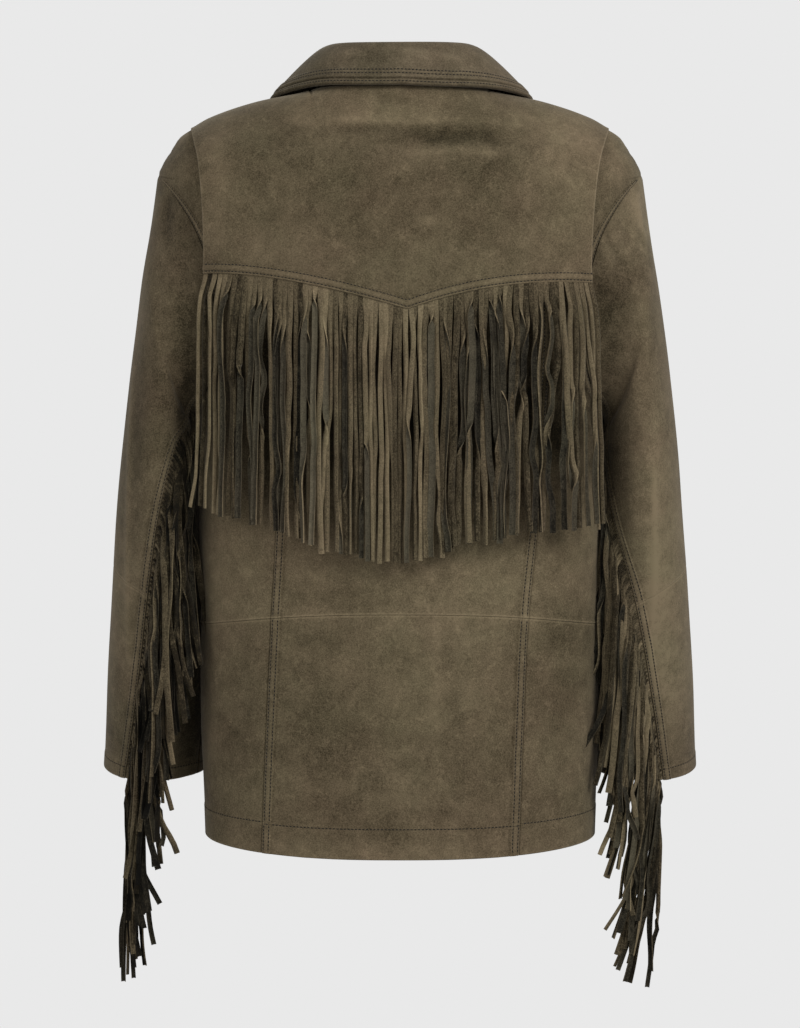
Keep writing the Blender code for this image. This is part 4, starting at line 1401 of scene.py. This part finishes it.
# %% The sleeve fringes
SLEEVE_STRIPS, SLEEVE_STEPS = 84, 32
STRIP_LENGTH = 201  # mm
FLIPPED, EDGEWISE = 0.42, 0.14  # shares of the strips
FringeHang = namedtuple("FringeHang", "rows swing kick tone seed")
# The tones darken the sleeve fringes as painted shade, the left one more than the right.
HANGS = {
    -1: FringeHang((0.95, 6.93), (5, -5), 8, -0.58, 23),
    1: FringeHang((1.3, 6.93), (4, 26), 12, -0.24, 37),
}
BEND = 15 * MM  # how much of each strip the fold at its root takes


def sleeve_fringe(side, word):
    hang = HANGS[side]
    random = np.random.default_rng(hang.seed)
    count = SLEEVE_STRIPS
    fine = np.linspace(*hang.rows, 200)
    lengths = arc_lengths(sleeve_point(side, BACK_SEAM, fine))
    place = np.linspace(0, lengths[-1], count) + random.normal(0, 0.5, count) * MM
    rows = np.interp(place, lengths, fine)
    root = sleeve_point(side, BACK_SEAM, rows)
    normal = sleeve_normal(side, BACK_SEAM, rows)
    along_seam = unit(sleeve_point(side, BACK_SEAM, rows + STEP) - root)
    inward = side * np.cross(along_seam, normal)
    root = root + normal * 0.6 * MM + inward * 0.8 * MM
    length = random.normal(STRIP_LENGTH, 5, count) * MM
    share = np.linspace(0, 1, SLEEVE_STEPS) ** 1.25
    run = length[:, None] * share
    bent = ease(run / BEND)[..., None]
    start = unit(inward * 0.8 + normal * 0.5 + DOWN * 0.35)[:, None]
    low = np.linspace(0, 1, count)
    swing = mix(*hang.swing, low) + 3.5 * slow(random, count, 3) + 6.5 * random.normal(size=count)
    aside = np.array([-side, 0, 0]) * (swing * MM)[:, None] / length[:, None]
    heading = unit(mix(start, DOWN + 2 * aside[:, None] * share[:, None], bent))
    steps = heading[:, 1:] * np.diff(run, axis=1)[..., None]
    path = root[:, None] + np.concatenate([0 * steps[:, :1], np.cumsum(steps, axis=1)], axis=1)
    loose = random.uniform(0.25, 1.0, count)
    path[..., 0] += waves(random, share, count, loose * MM, (0.5, 1.5))
    path[..., 0] += kinks(random, share, count, 3.2 * loose * MM) * ease(run / (30 * MM))
    layer = (np.arange(count) * 5 % 7) * 2.0
    out = (layer * MM)[:, None] * ease((run - 8 * MM) / (40 * MM))
    out = out - 1.5 * MM * ease((run - 5 * MM) / (20 * MM))
    path[..., 1] -= out + waves(random, share, count, loose * MM, (0.5, 1.3))
    kicked = (random.random(count) < 0.5) * random.normal(-0.3 * side, 1, count) * hang.kick * MM
    path[..., 0] += kicked[:, None] * ease((share - 0.75) / 0.4)
    across = mix(side * along_seam[:, None], RIGHT, bent)
    twist = strip_twists(random, np.full(count, FLIPPED), np.full(count, EDGEWISE), loose, share)
    half = STRIP_HALF * mix(0.62, random.uniform(0.9, 1.2, count)[:, None], ease(run / (14 * MM)))
    curl = mix(0.85, random.uniform(0.2, 0.9, count)[:, None], ease(run / (22 * MM)))
    points = ribbons(path, across, half, curl, twist)
    tone = random.normal(hang.tone, 0.24, count) - 0.1 * ease(1 - 2.5 * low)
    fringe_piece(f"fringe_sleeve_{word}", f"sleeve_fringe_{word}", points, tone)


sleeve_fringe(-1, "left")
sleeve_fringe(1, "right")

# %% [markdown]
# ## Buttons
#
# Five horn buttons close the front. A button starts as a disc. Its face is inset and sunk to a
# dish, its edges are rounded, and four holes are drilled. A ring of thread goes down through each
# pair of holes. It is modelled once, lying flat, and copied to its five places.

# %% One button
BUTTON_RADIUS, BUTTON_RISE, DISH = 9.5 * MM, 3.6 * MM, 1.1 * MM
RIM, ROUNDING = 2.6 * MM, 0.7 * MM
HOLE_RADIUS, HOLE_ASIDE = 1.0 * MM, 1.7 * MM
THREAD_RADIUS, THREAD_SUNK = 0.45 * MM, 0.9 * MM


def choose(obj):
    deselect()
    obj.select_set(True)
    bpy.context.view_layer.objects.active = obj


def edit_top(obj):
    """Goes into edit mode with only the uppermost flat face selected."""
    choose(obj)
    highest = max(polygon.center.z for polygon in obj.data.polygons)
    for polygon in obj.data.polygons:
        polygon.select = polygon.normal.z > 0.9 and polygon.center.z > highest - 0.1 * MM
    bpy.ops.object.mode_set(mode="EDIT")


def apply_modifier(obj, kind, **settings):
    choose(obj)
    modifier = obj.modifiers.new(kind.lower(), kind)
    for key, value in settings.items():
        setattr(modifier, key, value)
    bpy.ops.object.modifier_apply(modifier=modifier.name)


def horn():
    made, tree, shader = add_material("dark_horn")
    streaks = add_noise(tree, object_space(tree), 260, 5, 0.7, (0.35, 1, 1))
    share = add_math(tree, "MULTIPLY_ADD", streaks, 3.0, -1.0)
    colours = mix_colours(tree, share, (0.012, 0.008, 0.005, 1), (0.080, 0.050, 0.026, 1))
    fill(tree, shader, {"Base Color": colours, "Roughness": 0.32, "Coat Weight": 0.3})
    return made


deselect()
bpy.ops.mesh.primitive_cylinder_add(vertices=56, radius=BUTTON_RADIUS, depth=BUTTON_RISE,
                                    location=(0, 0, BUTTON_RISE / 2))
button = bpy.context.object
bpy.ops.object.transform_apply(location=True)
edit_top(button)
bpy.ops.mesh.inset(thickness=RIM)
bpy.ops.transform.translate(value=(0, 0, -DISH))
bpy.ops.mesh.select_all(action="DESELECT")
bpy.ops.object.mode_set(mode="OBJECT")
apply_modifier(button, "BEVEL", width=ROUNDING, segments=3, limit_method="ANGLE")
for x, y in ((1, 1), (1, -1), (-1, 1), (-1, -1)):
    deselect()
    bpy.ops.mesh.primitive_cylinder_add(vertices=16, radius=HOLE_RADIUS, depth=3 * BUTTON_RISE,
                                        location=(x * HOLE_ASIDE, y * HOLE_ASIDE, 0))
    drill = bpy.context.object
    apply_modifier(button, "BOOLEAN", operation="DIFFERENCE", object=drill)
    bpy.data.objects.remove(drill)
button.data.materials.append(horn())
button.data.polygons.foreach_set("material_index", [0] * len(button.data.polygons))
thread_z = BUTTON_RISE - DISH - THREAD_SUNK
for y in (-HOLE_ASIDE, HOLE_ASIDE):
    deselect()
    bpy.ops.mesh.primitive_torus_add(major_segments=24, minor_segments=8, major_radius=HOLE_ASIDE,
                                     minor_radius=THREAD_RADIUS, location=(0, y, thread_z),
                                     rotation=(math.pi / 2, 0, 0))
    ring = bpy.context.object
    ring.data.materials.append(THREAD)
    choose(button)
    ring.select_set(True)
    bpy.ops.object.join()
choose(button)
bpy.ops.object.shade_smooth_by_angle(angle=math.radians(35))
print("one button:", len(button.data.polygons), "faces,", len(button.data.materials), "materials")

# %% The five buttons
BUTTON_HEIGHTS = (-0.110, -0.232, -0.354, -0.476, -0.598)
SHANK = 0.8 * MM  # the button stands this far off the leather


def front_place(x, z):
    """A point on the right front's outer face, and its normal."""
    x, z = alike(x, z)
    row = row_at(x, z, front=True)
    point, normal = off_body(angle_at(x, row, front=True), row, front_lift(x))
    return point + normal * unevenness(point)[..., None], normal


for number, z in enumerate(BUTTON_HEIGHTS, 1):
    foot, normal = front_place(0, z)
    turned = Vector(normal).to_track_quat("Z", "Y").to_matrix().to_4x4()
    mesh = button.data.copy()
    mesh.transform(Matrix.Translation(Vector(foot + normal * SHANK)) @ turned)
    hand_over(add_object(f"horn_button_{number}", mesh), "horn_button", f"button_{number}")
bpy.data.objects.remove(button)

# %% Their buttonholes
HOLE_START, HOLE_END = -4 * MM, 19 * MM
middle, reach = (HOLE_START + HOLE_END) / 2, (HOLE_END - HOLE_START) / 2
turns = np.linspace(0, 2 * math.pi, 44, endpoint=False)
aside = reach * signed_power(np.cos(turns), 0.5)
rise = 1.5 * MM * signed_power(np.sin(turns), 0.5)
slit = np.linspace(HOLE_START, HOLE_END, 16)
groups = []
for z in BUTTON_HEIGHTS:
    place, normal = front_place(middle + aside, z + rise)
    hub, _ = front_place(middle + 0.85 * aside, z)
    along = square_to(normal, unit(place - hub))
    groups.append((0, place + normal * 0.15 * MM, along, np.cross(normal, along), normal))
    # Dark discs down the slit are the painted shade of the buttonhole's opening.
    place, normal = front_place(slit, z)
    along = unit(np.gradient(place, axis=0))
    groups.append((1, place + normal * 0.1 * MM, along, np.cross(normal, along), normal))
sewing("buttonholes", groups, "suede_body")
